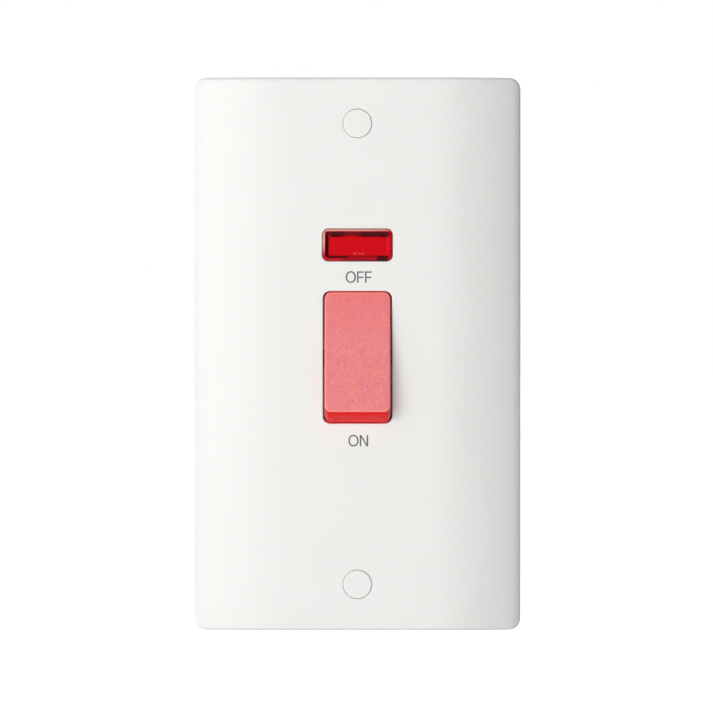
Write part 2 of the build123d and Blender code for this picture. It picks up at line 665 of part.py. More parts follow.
def moving_tip(side):
    """A rivet through the arm, domed behind it and headed over in front."""
    dome = revolve(tip_profile(), Axis.Y)
    shank = rod_y(TIP_SHANK_RADIUS, -ARM_THICKNESS - TIP_RIM / 2, 0, 0, 0)
    head = rod_y(1.5 * TIP_SHANK_RADIUS, -ARM_THICKNESS - TIP_RIM, -ARM_THICKNESS, 0, 0)
    return at_arm(Pos(0, 0, CONTACT_REACH) * (dome + shank + head), side)


def contact_z():
    """The height at which the closed contacts meet."""
    behind = TIP_DOME_RADIUS - TIP_THICKNESS
    return ROCKER_Z + CONTACT_REACH * cos(HALF_SWING) + behind * sin(HALF_SWING)


def fixed_tip(side):
    """A flat rivet in the load strip."""
    x, z = side * POLE_X, contact_z()
    head = rod_y(TIP_RADIUS, FIXED_TIP_Y, STRIP_FRONT_Y, x, z)
    front = [e for e in head.edges() if e.center().Y < FIXED_TIP_Y + 1e-3]
    head = chamfer(front, TIP_RIM / 3)
    return head + rod_y(TIP_SHANK_RADIUS, STRIP_FRONT_Y, FLOOR_Y, x, z)


def strip_outline(near_z, far_z):
    """A cranked strip seen from the front: from the pole's line out to the terminal's width."""
    half = ARM_WIDTH / 2
    crank = far_z - STRIP_THICKNESS * (1 if far_z > near_z else -1)
    knee = crank - (TERMINAL_X - POLE_X) / 2 * (1 if far_z > near_z else -1)
    return make_face(
        Polyline(
            (POLE_X - half, near_z),
            (POLE_X + half, near_z),
            (POLE_X + half, knee),
            (TERMINAL_X + half, crank),
            (TERMINAL_X + half, far_z),
            (TERMINAL_X - half, far_z),
            (TERMINAL_X - half, crank),
            (POLE_X - half, knee),
            (POLE_X - half, near_z),
        )
    )


def terminal_strip(side, near_z, end):
    """A flat leg on the chamber's floor with a flange turned up against the terminal block."""
    far_z = end * CHAMBER_HALF_HEIGHT
    leg = extrude(facing(FLOOR_Y) * strip_outline(near_z, far_z), STRIP_THICKNESS)
    half = ARM_WIDTH / 2
    inner_z = far_z - end * STRIP_THICKNESS
    flange = span(
        TERMINAL_X - half, TERMINAL_X + half, FLOOR_Y - STRIP_FLANGE_HEIGHT, FLOOR_Y,
        min(inner_z, far_z), max(inner_z, far_z),
    )
    strip = Pos(0, 0, ROCKER_Z) * (leg + flange)
    return strip if side > 0 else mirror(strip, about=Plane.YZ)


def load_strip(side):
    near = contact_z() - ROCKER_Z - TIP_RADIUS - TIP_RIM
    strip = terminal_strip(side, near, 1)
    return strip - rod_y(
        TIP_SHANK_RADIUS + TIP_SHANK_FIT, STRIP_FRONT_Y - 1, FLOOR_Y + 1, side * POLE_X, contact_z()
    )


def feed_strip(side):
    """The strip from the line terminal, with an upright blade whose round nose carries the arm."""
    strip = terminal_strip(side, FULCRUM_RADIUS, -1)
    x0 = side * POLE_X - ARM_WIDTH / 2
    x1 = side * POLE_X + ARM_WIDTH / 2
    blade = span(
        x0, x1, ARM_AXIS_Y, STRIP_FRONT_Y + STRIP_THICKNESS / 2,
        ROCKER_Z - FULCRUM_RADIUS, ROCKER_Z + FULCRUM_RADIUS,
    )
    return strip + blade + rod_x(FULCRUM_RADIUS, x0, x1, ARM_AXIS_Y, ROCKER_Z)


# Terminals


def terminal_block(side, end):
    """A brass block with a round wire bore up its length and a tapped hole from behind."""
    z0 = end * CHAMBER_HALF_HEIGHT
    z1 = end * (CHAMBER_HALF_HEIGHT + BLOCK_LENGTH)
    x = side * TERMINAL_X
    block = span(
        x - BLOCK_WIDTH / 2, x + BLOCK_WIDTH / 2, BLOCK_FRONT_Y, BLOCK_BACK_Y,
        ROCKER_Z + min(z0, z1), ROCKER_Z + max(z0, z1),
    )
    block = chamfer(block.edges().filter_by(Axis.Z), BLOCK_SIDE_WALL / 5)
    z_screw = ROCKER_Z + end * TERMINAL_Z
    block -= rod_z(WIRE_BORE_RADIUS, z_screw - BLOCK_LENGTH, z_screw + BLOCK_LENGTH, x, WIRE_Y)
    return block - rod_y(CLAMP_RADIUS + CLAMP_FIT, WIRE_Y, BLOCK_BACK_Y + 1, x, z_screw)


def clamp_screw(radius, length, head_radius, head_height, tip_y, x, z):
    """A terminal screw that faces backwards, backed out so that its tip clears the wire bore."""
    head_y = tip_y + length
    shank = rod_y(radius, tip_y, head_y, x, z)
    tip = [e for e in shank.edges() if e.center().Y < tip_y + 1e-3]
    shank = chamfer(tip, radius / 5)
    head = rod_y(head_radius, head_y, head_y + head_height, x, z)
    crown = [e for e in head.edges() if e.center().Y > head_y + head_height - 1e-3]
    head = chamfer(crown, head_height / 7)
    return shank + head - cross_recess(head_radius, head_y + head_height, x, z)


def terminal_screw(side, end):
    return clamp_screw(
        CLAMP_RADIUS, CLAMP_LENGTH, CLAMP_HEAD_RADIUS, CLAMP_HEAD_HEIGHT,
        CLAMP_TIP_Y, side * TERMINAL_X, ROCKER_Z + end * TERMINAL_Z,
    )


def earth_terminal():
    half = EARTH_WIDTH / 2
    low, high = EARTH_Z - EARTH_LENGTH / 2, EARTH_Z + EARTH_LENGTH / 2
    block = span(-half, half, EARTH_SEAT_Y, EARTH_BACK_Y, low, high)
    block = chamfer(block.edges().filter_by(Axis.Z), EARTH_SIDE_WALL / 6)
    for side in (-1, 1):
        x = side * EARTH_BORE_SPACING / 2
        block -= rod_z(EARTH_BORE_RADIUS, low - 1, high + 1, x, EARTH_WIRE_Y)
        block -= rod_y(EARTH_SCREW_RADIUS + CLAMP_FIT, EARTH_WIRE_Y, EARTH_BACK_Y + 1, x, EARTH_Z)
    return block


def earth_screw(side):
    return clamp_screw(
        EARTH_SCREW_RADIUS, EARTH_SCREW_LENGTH, EARTH_HEAD_RADIUS, EARTH_HEAD_HEIGHT,
        EARTH_TIP_Y, side * EARTH_BORE_SPACING / 2, EARTH_Z,
    )


# Switch base: the moulding that holds the contacts and terminals behind the plate


def base_body():
    """The shallow middle box and the deeper terminal towers at its two ends."""
    width = 2 * BASE_HALF_WIDTH
    middle_half = CHAMBER_HALF_HEIGHT + BASE_WALL
    body = slab(width, 2 * middle_half, BASE_CORNER_RADIUS, 0, FLOOR_Y + BASE_FLOOR, z=ROCKER_Z)
    tower_height = BASE_HALF_HEIGHT - CHAMBER_HALF_HEIGHT
    for end in (-1, 1):
        z = ROCKER_Z + end * (CHAMBER_HALF_HEIGHT + tower_height / 2)
        body += slab(width, tower_height, BASE_CORNER_RADIUS, DECK_Y, BASE_BACK_Y, z=z)
    return body


def base_chamber():
    inner = BASE_HALF_WIDTH - BASE_WALL
    return span(
        -inner, inner, 0, FLOOR_Y, ROCKER_Z - CHAMBER_HALF_HEIGHT, ROCKER_Z + CHAMBER_HALF_HEIGHT
    )


def trunnion_saddle():
    """A web that rises from the chamber's floor to close the trunnion's notch from behind."""
    half = TRUNNION_RADIUS - TRUNNION_FIT
    inner = SKIRT_INNER_X - SADDLE_OVERHANG
    outer = SKIRT_INNER_X + SKIRT_WALL + 2 * SADDLE_OVERHANG
    rib = span(inner, BASE_HALF_WIDTH - BASE_WALL / 2, 0, FLOOR_Y, ROCKER_Z - half, ROCKER_Z + half)
    post = span(inner, outer, PIVOT_Y, FLOOR_Y, ROCKER_Z - half, ROCKER_Z + half)
    bearing = rod_x(TRUNNION_RADIUS + TRUNNION_FIT, inner - 1, outer + 1, PIVOT_Y, ROCKER_Z)
    return both_sides(rib + post - bearing)


def terminal_pocket(side, end):
    """The tunnel for a block, its wire entry through the end wall and the screw's chimney."""
    x = side * TERMINAL_X
    z0 = ROCKER_Z + end * CHAMBER_HALF_HEIGHT
    z1 = ROCKER_Z + end * (CHAMBER_HALF_HEIGHT + BLOCK_LENGTH + BLOCK_FIT)
    half = BLOCK_WIDTH / 2 + BLOCK_FIT
    tunnel = span(
        x - half, x + half, BLOCK_FRONT_Y - BLOCK_FIT, BLOCK_BACK_Y + BLOCK_FIT, min(z0, z1), max(z0, z1)
    )
    outside = z1 + end * (BASE_WALL + 1)
    entry = rod_z(WIRE_BORE_RADIUS + ENTRY_CLEARANCE, min(z1, outside), max(z1, outside), x, WIRE_Y)
    chimney = rod_y(
        CLAMP_HEAD_RADIUS + CHIMNEY_CLEARANCE, BLOCK_BACK_Y, BASE_BACK_Y + 1, x, ROCKER_Z + end * TERMINAL_Z
    )
    return tunnel + entry + chimney


def barrier_slots(end):
    """Two slots that leave a barrier wall between the live and neutral towers."""
    inner = BARRIER_THICKNESS / 2
    z0 = ROCKER_Z + end * (CHAMBER_HALF_HEIGHT + BASE_WALL)
    z1 = ROCKER_Z + end * (BASE_HALF_HEIGHT + 1)
    floor_y = DECK_Y + DECK_THICKNESS + BASE_FLOOR
    slot = span(inner, inner + BARRIER_SLOT_WIDTH, floor_y, BASE_BACK_Y + 1, min(z0, z1), max(z0, z1))
    return both_sides(slot)


def base_lugs():
    lugs = Part()
    for x, z in lug_places():
        side = 1 if x > 0 else -1
        ear = rod_y(LUG_RADIUS, 0, LUG_THICKNESS, x, z)
        inner = side * (BASE_HALF_WIDTH - BASE_WALL / 2)
        ear += span(min(inner, x), max(inner, x), 0, LUG_THICKNESS, z - LUG_RADIUS, z + LUG_RADIUS)
        lugs += ear - rod_y(LUG_HOLE_RADIUS, -1, LUG_THICKNESS + 1, x, z)
    return lugs


def switch_base():
    base = base_body() - base_chamber()
    for end in (-1, 1):
        for side in (-1, 1):
            base -= terminal_pocket(side, end)
        base -= barrier_slots(end)
    half = BARRIER_THICKNESS / 2
    base += span(
        -half, half, PARTITION_SETBACK, FLOOR_Y + BASE_FLOOR / 2,
        ROCKER_Z - CHAMBER_HALF_HEIGHT - BASE_WALL / 2, ROCKER_Z + CHAMBER_HALF_HEIGHT + BASE_WALL / 2,
    )
    return base + trunnion_saddle() + base_lugs()


def base_screws():
    """Four self-tapping screws, driven from behind through the lugs into the plate's bosses."""
    screws = []
    for x, z in lug_places():
        tip_y = LUG_THICKNESS - BASE_SCREW_LENGTH
        shank = rod_y(BASE_SCREW_RADIUS, tip_y, LUG_THICKNESS, x, z)
        tip = [e for e in shank.edges() if e.center().Y < tip_y + 1e-3]
        shank = chamfer(tip, BASE_SCREW_RADIUS / 3)
        head_y = LUG_THICKNESS + BASE_SCREW_HEAD_HEIGHT
        head = rod_y(BASE_SCREW_HEAD_RADIUS, LUG_THICKNESS, head_y, x, z)
        crown = [e for e in head.edges() if e.center().Y > head_y - 1e-3]
        head = fillet(crown, BASE_SCREW_HEAD_HEIGHT / 3)
        screws.append(shank + head - cross_recess(BASE_SCREW_HEAD_RADIUS, head_y, x, z))
    return Compound(children=[Compound(s.solids()) for s in screws])


# Indicator: a hollow red lens, a white carrier, and a neon lamp with its resistor and leads


def neon_lens():
    width = NEON_WINDOW_WIDTH - 2 * NEON_GAP
    height = NEON_WINDOW_HEIGHT - 2 * NEON_GAP
    radius = NEON_CORNER_RADIUS - NEON_GAP
    front_y = FRONT_Y - NEON_PROUD
    body = slab(width, height, radius, front_y, LENS_BACK_Y, z=NEON_Z)
    rim = [e for e in body.edges() if e.bounding_box().max.Y < front_y + 1e-3]
    body = fillet(rim, LENS_EDGE_RADIUS)
    flange = slab(
        NEON_WINDOW_WIDTH + 2 * LENS_FLANGE, NEON_WINDOW_HEIGHT + 2 * LENS_FLANGE,
        NEON_CORNER_RADIUS + LENS_FLANGE, INNER_Y, LENS_SEAT_Y, z=NEON_Z,
    )
    inner_radius = max(radius - LENS_WALL / 2, LENS_WALL / 2)
    hollow = slab(
        width - 2 * LENS_WALL, height - 2 * LENS_WALL, inner_radius,
        front_y + LENS_DISH_DEPTH + LENS_WALL, LENS_BACK_Y, z=NEON_Z,
    )
    mouth_slope = LENS_DISH_SLOPE * LENS_RIM / LENS_DISH_DEPTH
    mouth = (width - 2 * LENS_RIM + 2 * mouth_slope, height - 2 * LENS_RIM + 2 * mouth_slope)
    bottom_inset = LENS_RIM + LENS_DISH_SLOPE
    bottom = (width - 2 * bottom_inset, height - 2 * bottom_inset)
    dish = funnel(mouth, bottom, inner_radius, front_y - LENS_RIM, front_y + LENS_DISH_DEPTH, NEON_Z)
    return body + flange - hollow - dish


def neon_carrier():
    """A white tray that stands on the base's deck, holds the lens by its flange and cups the lamp."""
    width = NEON_WINDOW_WIDTH + 2 * LENS_FLANGE
    height = NEON_WINDOW_HEIGHT + 2 * LENS_FLANGE
    radius = NEON_CORNER_RADIUS + LENS_FLANGE
    inner_width = width - 2 * CARRIER_WALL
    inner_height = height - 2 * CARRIER_WALL
    inner_radius = radius - CARRIER_WALL
    tray = slab(width, height, radius, LENS_SEAT_Y, DECK_Y, z=NEON_Z)
    floor_y = LAMP_Y + LAMP_RADIUS + CARRIER_FLOOR_THICKNESS
    tray -= slab(inner_width, inner_height, inner_radius, LENS_SEAT_Y, floor_y, z=NEON_Z)
    cradle_half = LAMP_LENGTH / 4
    rest = span(
        -cradle_half, cradle_half, LAMP_Y, floor_y + CARRIER_FLOOR_THICKNESS / 2,
        NEON_Z - inner_height / 2 - CARRIER_WALL / 2, NEON_Z + inner_height / 2 + CARRIER_WALL / 2,
    )
    tray += rest - rod_x(LAMP_RADIUS, -LAMP_LENGTH, LAMP_LENGTH, LAMP_Y, NEON_Z)
    recess_y = floor_y + CARRIER_FLOOR_THICKNESS
    if recess_y < DECK_Y:
        tray -= slab(inner_width, inner_height, inner_radius, recess_y, DECK_Y, z=NEON_Z)
    notch_half = LEAD_RADIUS + CRADLE_FIT
    notch = span(-width, width, LENS_SEAT_Y, LAMP_Y, NEON_Z - notch_half, NEON_Z + notch_half)
    notch += rod_x(notch_half, -width, width, LAMP_Y, NEON_Z)
    keep = span(-inner_width / 2, inner_width / 2, LENS_SEAT_Y, DECK_Y, NEON_Z - height, NEON_Z + height)
    return tray - (notch - keep)


def neon_bulb():
    """A sealed glass tube with round ends, around the two electrodes."""
    half = LAMP_LENGTH / 2

    def envelope(radius, half_length):
        tube = rod_x(radius, -half_length + radius, half_length - radius, LAMP_Y, NEON_Z)
        for side in (-1, 1):
            tube += Pos(side * (half_length - radius), LAMP_Y, NEON_Z) * Sphere(radius)
        return tube

    glass = envelope(LAMP_RADIUS, half) - envelope(LAMP_RADIUS - LAMP_GLASS, half - LAMP_GLASS)
    return glass - rod_x(ELECTRODE_RADIUS, -half - 1, half + 1, LAMP_Y, NEON_Z)


def neon_electrodes():
    rod = rod_x(ELECTRODE_RADIUS, ELECTRODE_GAP / 2, LAMP_LENGTH / 2 + ELECTRODE_TAIL, LAMP_Y, NEON_Z)
    return both_sides(rod)


def resistor_span():
    """The resistor's two ends along X, on the neutral side, outside the carrier."""
    inner = NEON_WINDOW_WIDTH / 2 + LENS_FLANGE + NEON_SKIRT_WALL + ELECTRODE_TAIL / 2
    return -inner - RESISTOR_LENGTH, -inner


def neon_resistor():
    x0, x1 = resistor_span()
    body = rod_x(RESISTOR_RADIUS, x0, x1, LAMP_Y, NEON_Z)
    return fillet(body.edges(), RESISTOR_RADIUS / 2)


def lead(points, radii):
    """An insulated lead along straight runs joined by arcs."""
    path = FilletPolyline(*points, radius=radii)
    return sweep(Plane(path @ 0, z_dir=path % 0) * Circle(LEAD_RADIUS), path=path)


def neon_leads():
    """Three leads: lamp to resistor, resistor to the neutral load strip, lamp to the live one."""
    tail_x = LAMP_LENGTH / 2 + ELECTRODE_TAIL
    far, near = resistor_span()
    solder_z = ROCKER_Z + CHAMBER_HALF_HEIGHT - STRIP_THICKNESS - LEAD_RADIUS
    solder_y = FLOOR_Y - STRIP_FLANGE_HEIGHT + 2 * LEAD_RADIUS
    drop_x = TERMINAL_X + ARM_WIDTH / 4
    link = rod_x(LEAD_RADIUS, near, -tail_x, LAMP_Y, NEON_Z)
    turn_x = -far + LEAD_TURN_OUT
    neutral = lead(
        [
            (far, LAMP_Y, NEON_Z),
            (-turn_x, LAMP_Y, NEON_Z),
            (-turn_x, LAMP_Y, NEON_Z - LEAD_DROP),
            (-drop_x, LAMP_Y, solder_z),
            (-drop_x, solder_y, solder_z),
        ],
        [LEAD_TIGHT_BEND, LEAD_BEND, LEAD_BEND],
    )
    live = lead(
        [
            (tail_x, LAMP_Y, NEON_Z),
            (drop_x, LAMP_Y, NEON_Z),
            (drop_x, LAMP_Y, solder_z),
            (drop_x, solder_y, solder_z),
        ],
        [LEAD_WIDE_BEND, LEAD_WIDE_BEND],
    )
    return Compound(children=[Compound(p.solids()) for p in (link, neutral, live)])


PIECES = {
    "front_plate": front_plate,
    "rocker": rocker,
    "switch_base": switch_base,
    "base_screws": base_screws,
    "earth_terminal": earth_terminal,
    "neon_lens": neon_lens,
    "neon_carrier": neon_carrier,
    "neon_bulb": neon_bulb,
    "neon_electrodes": neon_electrodes,
    "neon_resistor": neon_resistor,
    "neon_leads": neon_leads,
}
POLES = {"neutral": -1, "live": 1}
ENDS = {"line": -1, "load": 1}
CAPS = {"upper": FIXING_CENTRES / 2, "lower": -FIXING_CENTRES / 2}


def all_pieces():
    """Every node's name and shape."""
    for name, make in PIECES.items():
        yield name, make()
    for place, z in CAPS.items():
        yield f"screw_cap_{place}", screw_cap(z)
        yield f"fixing_screw_{place}", fixing_screw(z)
    for pole, side in POLES.items():
        yield f"{pole}_plunger", plunger(side)
        yield f"{pole}_spring", spring(side)
        yield f"{pole}_contact_arm", contact_arm(side)
        yield f"{pole}_moving_tip", moving_tip(side)
        yield f"{pole}_fixed_tip", fixed_tip(side)
        yield f"{pole}_load_strip", load_strip(side)
        yield f"{pole}_feed_strip", feed_strip(side)
        for way, end in ENDS.items():
            yield f"{pole}_{way}_terminal", terminal_block(side, end)
            yield f"{pole}_{way}_screw", terminal_screw(side, end)
    for name, side in (("left", -1), ("right", 1)):
        yield f"earth_screw_{name}", earth_screw(side)


os.makedirs("parts", exist_ok=True)
for node, shape in all_pieces():
    export_step(shape, f"parts/{node}.step")
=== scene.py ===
import json
from math import atan, cos, pi, radians, sin

import bmesh
import bpy
from mathutils import Matrix, Vector


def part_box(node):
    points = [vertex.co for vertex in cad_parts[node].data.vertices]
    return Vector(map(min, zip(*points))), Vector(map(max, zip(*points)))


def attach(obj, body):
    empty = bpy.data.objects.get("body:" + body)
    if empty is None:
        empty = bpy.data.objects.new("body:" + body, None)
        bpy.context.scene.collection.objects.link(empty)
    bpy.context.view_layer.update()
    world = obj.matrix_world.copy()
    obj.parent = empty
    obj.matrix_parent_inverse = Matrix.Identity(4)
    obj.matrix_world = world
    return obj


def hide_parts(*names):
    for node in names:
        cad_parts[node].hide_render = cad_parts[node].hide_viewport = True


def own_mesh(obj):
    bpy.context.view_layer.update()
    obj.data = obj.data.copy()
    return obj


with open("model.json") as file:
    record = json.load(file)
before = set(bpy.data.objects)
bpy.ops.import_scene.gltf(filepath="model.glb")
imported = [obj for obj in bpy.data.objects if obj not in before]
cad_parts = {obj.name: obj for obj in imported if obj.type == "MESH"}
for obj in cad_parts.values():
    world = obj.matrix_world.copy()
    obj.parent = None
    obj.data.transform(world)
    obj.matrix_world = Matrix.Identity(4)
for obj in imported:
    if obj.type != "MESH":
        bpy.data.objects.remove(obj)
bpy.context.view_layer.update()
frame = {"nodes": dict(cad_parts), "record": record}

MM = 0.001
NODES = frame["nodes"]
PLATE_FRONT = -9.5 * MM


# The rocker: its tilt at rest, the pivot that its round ends are struck from, and its face

ROCKER_TILT = radians(9.2)
PIVOT_Y = -3.5 * MM
PIVOT_Z = -0.9 * MM
PANEL_RADIUS = 17.92 * MM
PANEL_DEPTH = 0.5 * MM
FACE_WAY = (0, -cos(ROCKER_TILT), sin(ROCKER_TILT))
FACE_DISTANCE = 12.3 * MM
EDGE_DEPTH = 1.0 * MM
DEEPER_FROM = 4.0 * MM
DEEPER_TO = 14.0 * MM


# The window: its lens inside the flange, the painted shade of its dark bands, a painted glint and a painted
# highlight on its rim

FLANGE_SHOW = 1.35 * MM
lens_low, lens_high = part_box("neon_lens")
LENS_LEFT, LENS_RIGHT = lens_low.x + FLANGE_SHOW, lens_high.x - FLANGE_SHOW
LENS_BOTTOM, LENS_TOP = lens_low.z + FLANGE_SHOW, lens_high.z - FLANGE_SHOW
LENS_CORNER = 1.45 * MM
LENS_RIM = 0.52 * MM
LENS_RIPPLE = 0.1 * MM
TOP_BAND = 1.72 * MM
TOP_WAVE = 0.35 * MM
LEFT_BAND = 1.5 * MM
LEFT_BAND_END = 0.8 * MM
FOOT_BAND = 1.3 * MM
DARK_FOOT_START = 1.1 * MM
DARK_FOOT_END = -2.5 * MM
BLOCK_START = 4.9 * MM
BLOCK_MARGIN = 1.0 * MM
GLINT_X = (-1.0 * MM, 2.3 * MM)
GLINT_Z = (26.1 * MM, 26.45 * MM)
LOW_RIM_X = (-4.0 * MM, 4.9 * MM)
RIM_HIGHLIGHT_FADE_X = 3.0 * MM
RIM_HIGHLIGHT_FADE_Z = (26.0 * MM, 29.0 * MM)


# Materials: every one is procedural, and its pattern is fixed to the object

NOISE_LOW = 0.3
NOISE_HIGH = 0.7
SOFT_LINE = 0.3 * MM
GLOSS_CHANGE = 0.12
SHINY_MARKS = 0.75
DULL_MARKS = 1.35


class Nodes:
    """A material's node tree, with short calls to add nodes and join them."""

    def __init__(self, name):
        self.material = bpy.data.materials.new(name)
        self.material.use_nodes = True
        self.tree = self.material.node_tree
        self.shader = self.tree.nodes["Principled BSDF"]
        source = self.add("ShaderNodeTexCoord")
        self.coords = source.outputs["Object"]
        self.normal = source.outputs["Normal"]

    def add(self, kind, **settings):
        node = self.tree.nodes.new(kind)
        for key, value in settings.items():
            setattr(node, key, value)
        return node

    def join(self, output, target):
        self.tree.links.new(output, target)

    def put(self, value, socket):
        """Joins an output to a socket, or sets the socket to a number."""
        if isinstance(value, bpy.types.NodeSocket):
            self.join(value, socket)
        else:
            socket.default_value = value

    def noise(self, scale, detail=3.0, roughness=0.55, stretch=(1, 1, 1)):
        """Noise with features about 1/scale metres across."""
        mapping = self.add("ShaderNodeMapping")
        mapping.inputs["Scale"].default_value = [scale * s for s in stretch]
        self.join(self.coords, mapping.inputs["Vector"])
        texture = self.add("ShaderNodeTexNoise")
        texture.inputs["Scale"].default_value = 1.0
        texture.inputs["Detail"].default_value = detail
        texture.inputs["Roughness"].default_value = roughness
        self.join(mapping.outputs["Vector"], texture.inputs["Vector"])
        return texture.outputs["Fac"]

    def math(self, operation, first, second=0.0):
        node = self.add("ShaderNodeMath", operation=operation)
        self.put(first, node.inputs[0])
        self.put(second, node.inputs[1])
        return node.outputs[0]

    def dot(self, vector, direction):
        node = self.add("ShaderNodeVectorMath", operation="DOT_PRODUCT")
        self.join(vector, node.inputs[0])
        node.inputs[1].default_value = direction
        return node.outputs["Value"]

    def product(self, *values):
        """All the values multiplied together."""
        total = values[0]
        for value in values[1:]:
            total = self.math("MULTIPLY", total, value)
        return total

    def largest(self, *values):
        total = values[0]
        for value in values[1:]:
            total = self.math("MAXIMUM", total, value)
        return total

    def length(self, first, second):
        """The length of a vector with two parts."""
        squares = self.math("ADD", self.product(first, first), self.product(second, second))
        return self.math("SQRT", squares)

    def parts_of(self, vector):
        node = self.add("ShaderNodeSeparateXYZ")
        self.join(vector, node.inputs[0])
        return node.outputs

    def ramp(self, factor, low, high, out_low=0.0, out_high=1.0):
        """A value that goes from out_low to out_high while the factor goes from low to high."""
        node = self.add("ShaderNodeMapRange")
        ends = {"From Min": low, "From Max": high, "To Min": out_low, "To Max": out_high}
        for key, value in ends.items():
            node.inputs[key].default_value = value
        self.join(factor, node.inputs["Value"])
        return node.outputs["Result"]

    def spread(self, noise, out_low=0.0, out_high=1.0):
        """A noise, stretched over the range where most of its values lie."""
        return self.ramp(noise, NOISE_LOW, NOISE_HIGH, out_low, out_high)

    def above(self, value, edge):
        """0 below the edge and 1 above it, over the width of a soft line."""
        return self.ramp(value, edge - SOFT_LINE / 2, edge + SOFT_LINE / 2)

    def below(self, value, edge):
        """1 below the edge and 0 above it."""
        return self.ramp(value, edge - SOFT_LINE / 2, edge + SOFT_LINE / 2, 1.0, 0.0)

    def within(self, value, ends):
        """1 between two ends and 0 beyond them."""
        low, high = ends
        return self.product(self.above(value, low), self.below(value, high))

    def blend(self, factor, first, second):
        """A colour between two others, each a colour or an output."""
        node = self.add("ShaderNodeMix", data_type="RGBA")
        self.join(factor, node.inputs["Factor"])
        for value, socket in ((first, node.inputs[6]), (second, node.inputs[7])):
            if isinstance(value, bpy.types.NodeSocket):
                self.join(value, socket)
            else:
                socket.default_value = (*value, 1)
        return node.outputs[2]

    def bump(self, height, distance, strength=1.0, below=None):
        node = self.add("ShaderNodeBump")
        node.inputs["Strength"].default_value = strength
        node.inputs["Distance"].default_value = distance
        self.join(height, node.inputs["Height"])
        if below is not None:
            self.join(below, node.inputs["Normal"])
        return node.outputs["Normal"]

    def set(self, **values):
        """Constants on the shader's own sockets, with _ for each space in a name."""
        for key, value in values.items():
            self.shader.inputs[key.replace("_", " ")].default_value = value
        return self

    def finish(self, colour=None, roughness=None, normal=None):
        for output, key in ((colour, "Base Color"), (roughness, "Roughness"), (normal, "Normal")):
            if output is not None:
                self.join(output, self.shader.inputs[key])
        return self.material


def tone(colour, factor):
    return tuple(min(1.0, c * factor) for c in colour)


def plastic(name, colour, rough, grain=0.0, mottle=0.02):
    """Moulded plastic: faint flow clouding, small changes of gloss and an optional fine grain."""
    n = Nodes(name)
    clouds = n.noise(scale=70, detail=2.0)
    base = n.blend(n.spread(clouds), tone(colour, 1 - mottle), tone(colour, 1 + mottle))
    patches = n.noise(scale=240, detail=4.0)
    gloss = n.spread(patches, rough * (1 - GLOSS_CHANGE), rough * (1 + GLOSS_CHANGE))
    normal = n.bump(n.noise(scale=45, detail=1.0), distance=0.02 * MM, strength=0.35)
    if grain:
        normal = n.bump(n.noise(scale=5000, detail=2.0), distance=grain * MM, below=normal)
    return n.finish(base, gloss, normal)


def metal(name, colour, rough, brushed=(1, 1, 1), tarnish=0.12, scale=400):
    """Plated or turned metal with fine marks along one direction and a little tarnish."""
    n = Nodes(name).set(Metallic=1.0)
    marks = n.noise(scale, detail=4.0, stretch=brushed)
    stain = n.ramp(n.noise(scale=260, detail=5.0), low=0.42, high=0.75)
    base = n.blend(stain, colour, tone(colour, 1 - tarnish))
    gloss = n.spread(marks, rough * SHINY_MARKS, rough * DULL_MARKS)
    return n.finish(base, gloss, n.bump(marks, distance=0.01 * MM, strength=0.6))


def lamp_glass():
    n = Nodes("lamp_glass").set(Roughness=0.02, Transmission_Weight=1.0, IOR=1.47)
    return n.finish(n.blend(n.spread(n.noise(scale=300)), (0.93, 0.94, 0.93), (1.0, 1.0, 0.99)))


# The rocker's reds, from its pale grained face to the painted shade of its long sides, with a painted
# highlight on the face's edges and a painted reflection in the end panels

FACE_ROSE = (0.86, 0.262, 0.31)
FACE_CORAL = (0.88, 0.31, 0.27)
FACE_PATCH = (0.8, 0.185, 0.2)
FACE_GRAIN = (0.8, 0.16, 0.175)
FACE_SPECK = (0.95, 0.4, 0.38)
FACE_PIT = (0.72, 0.1, 0.12)
FACE_DEEPER = (0.86, 0.17, 0.175)
# Painted highlight: the pale colour of the face's edge fillet.
EDGE_HIGHLIGHT_PAINTED = (0.95, 0.3, 0.27)
SIDE_RED = (0.86, 0.004, 0.008)
SIDE_BRIGHT = (0.96, 0.01, 0.014)
# Painted shade on the long sides, which also cuts their red glow on the plate.
SIDE_LONG_SHADE_PAINTED = (0.5, 0.003, 0.006)
# Painted reflection: the paler colour of the sunk end panels.
PANEL_REFLECTION_PAINTED = (1.0, 0.065, 0.07)
PANEL_STEP = (0.72, 0.05, 0.055)


def rocker_patches(n):
    return n.noise(scale=900, detail=4.0, roughness=0.7)


def rocker_face(n, z):
    """The spark-grained face: two hues, darker patches and grain, pale specks and dark pits."""
    hue = n.noise(scale=420, detail=4.0, roughness=0.7, stretch=(1, 1, 0.6))
    face = n.blend(n.ramp(hue, 0.35, 0.65), FACE_ROSE, FACE_CORAL)
    face = n.blend(n.ramp(rocker_patches(n), 0.4, 0.62, out_high=0.5), face, FACE_PATCH)
    grain = n.noise(scale=2900, detail=3.0, roughness=0.8)
    face = n.blend(n.ramp(grain, 0.35, 0.7, out_high=0.55), face, FACE_GRAIN)
    specks = n.noise(scale=1900, detail=2.0, roughness=0.4)
    face = n.blend(n.ramp(specks, 0.62, 0.72, out_high=0.5), face, FACE_SPECK)
    face = n.blend(n.ramp(specks, 0.36, 0.28, out_high=0.5), face, FACE_PIT)
    return n.blend(n.ramp(z, DEEPER_FROM, DEEPER_TO, out_high=0.4), face, FACE_DEEPER)


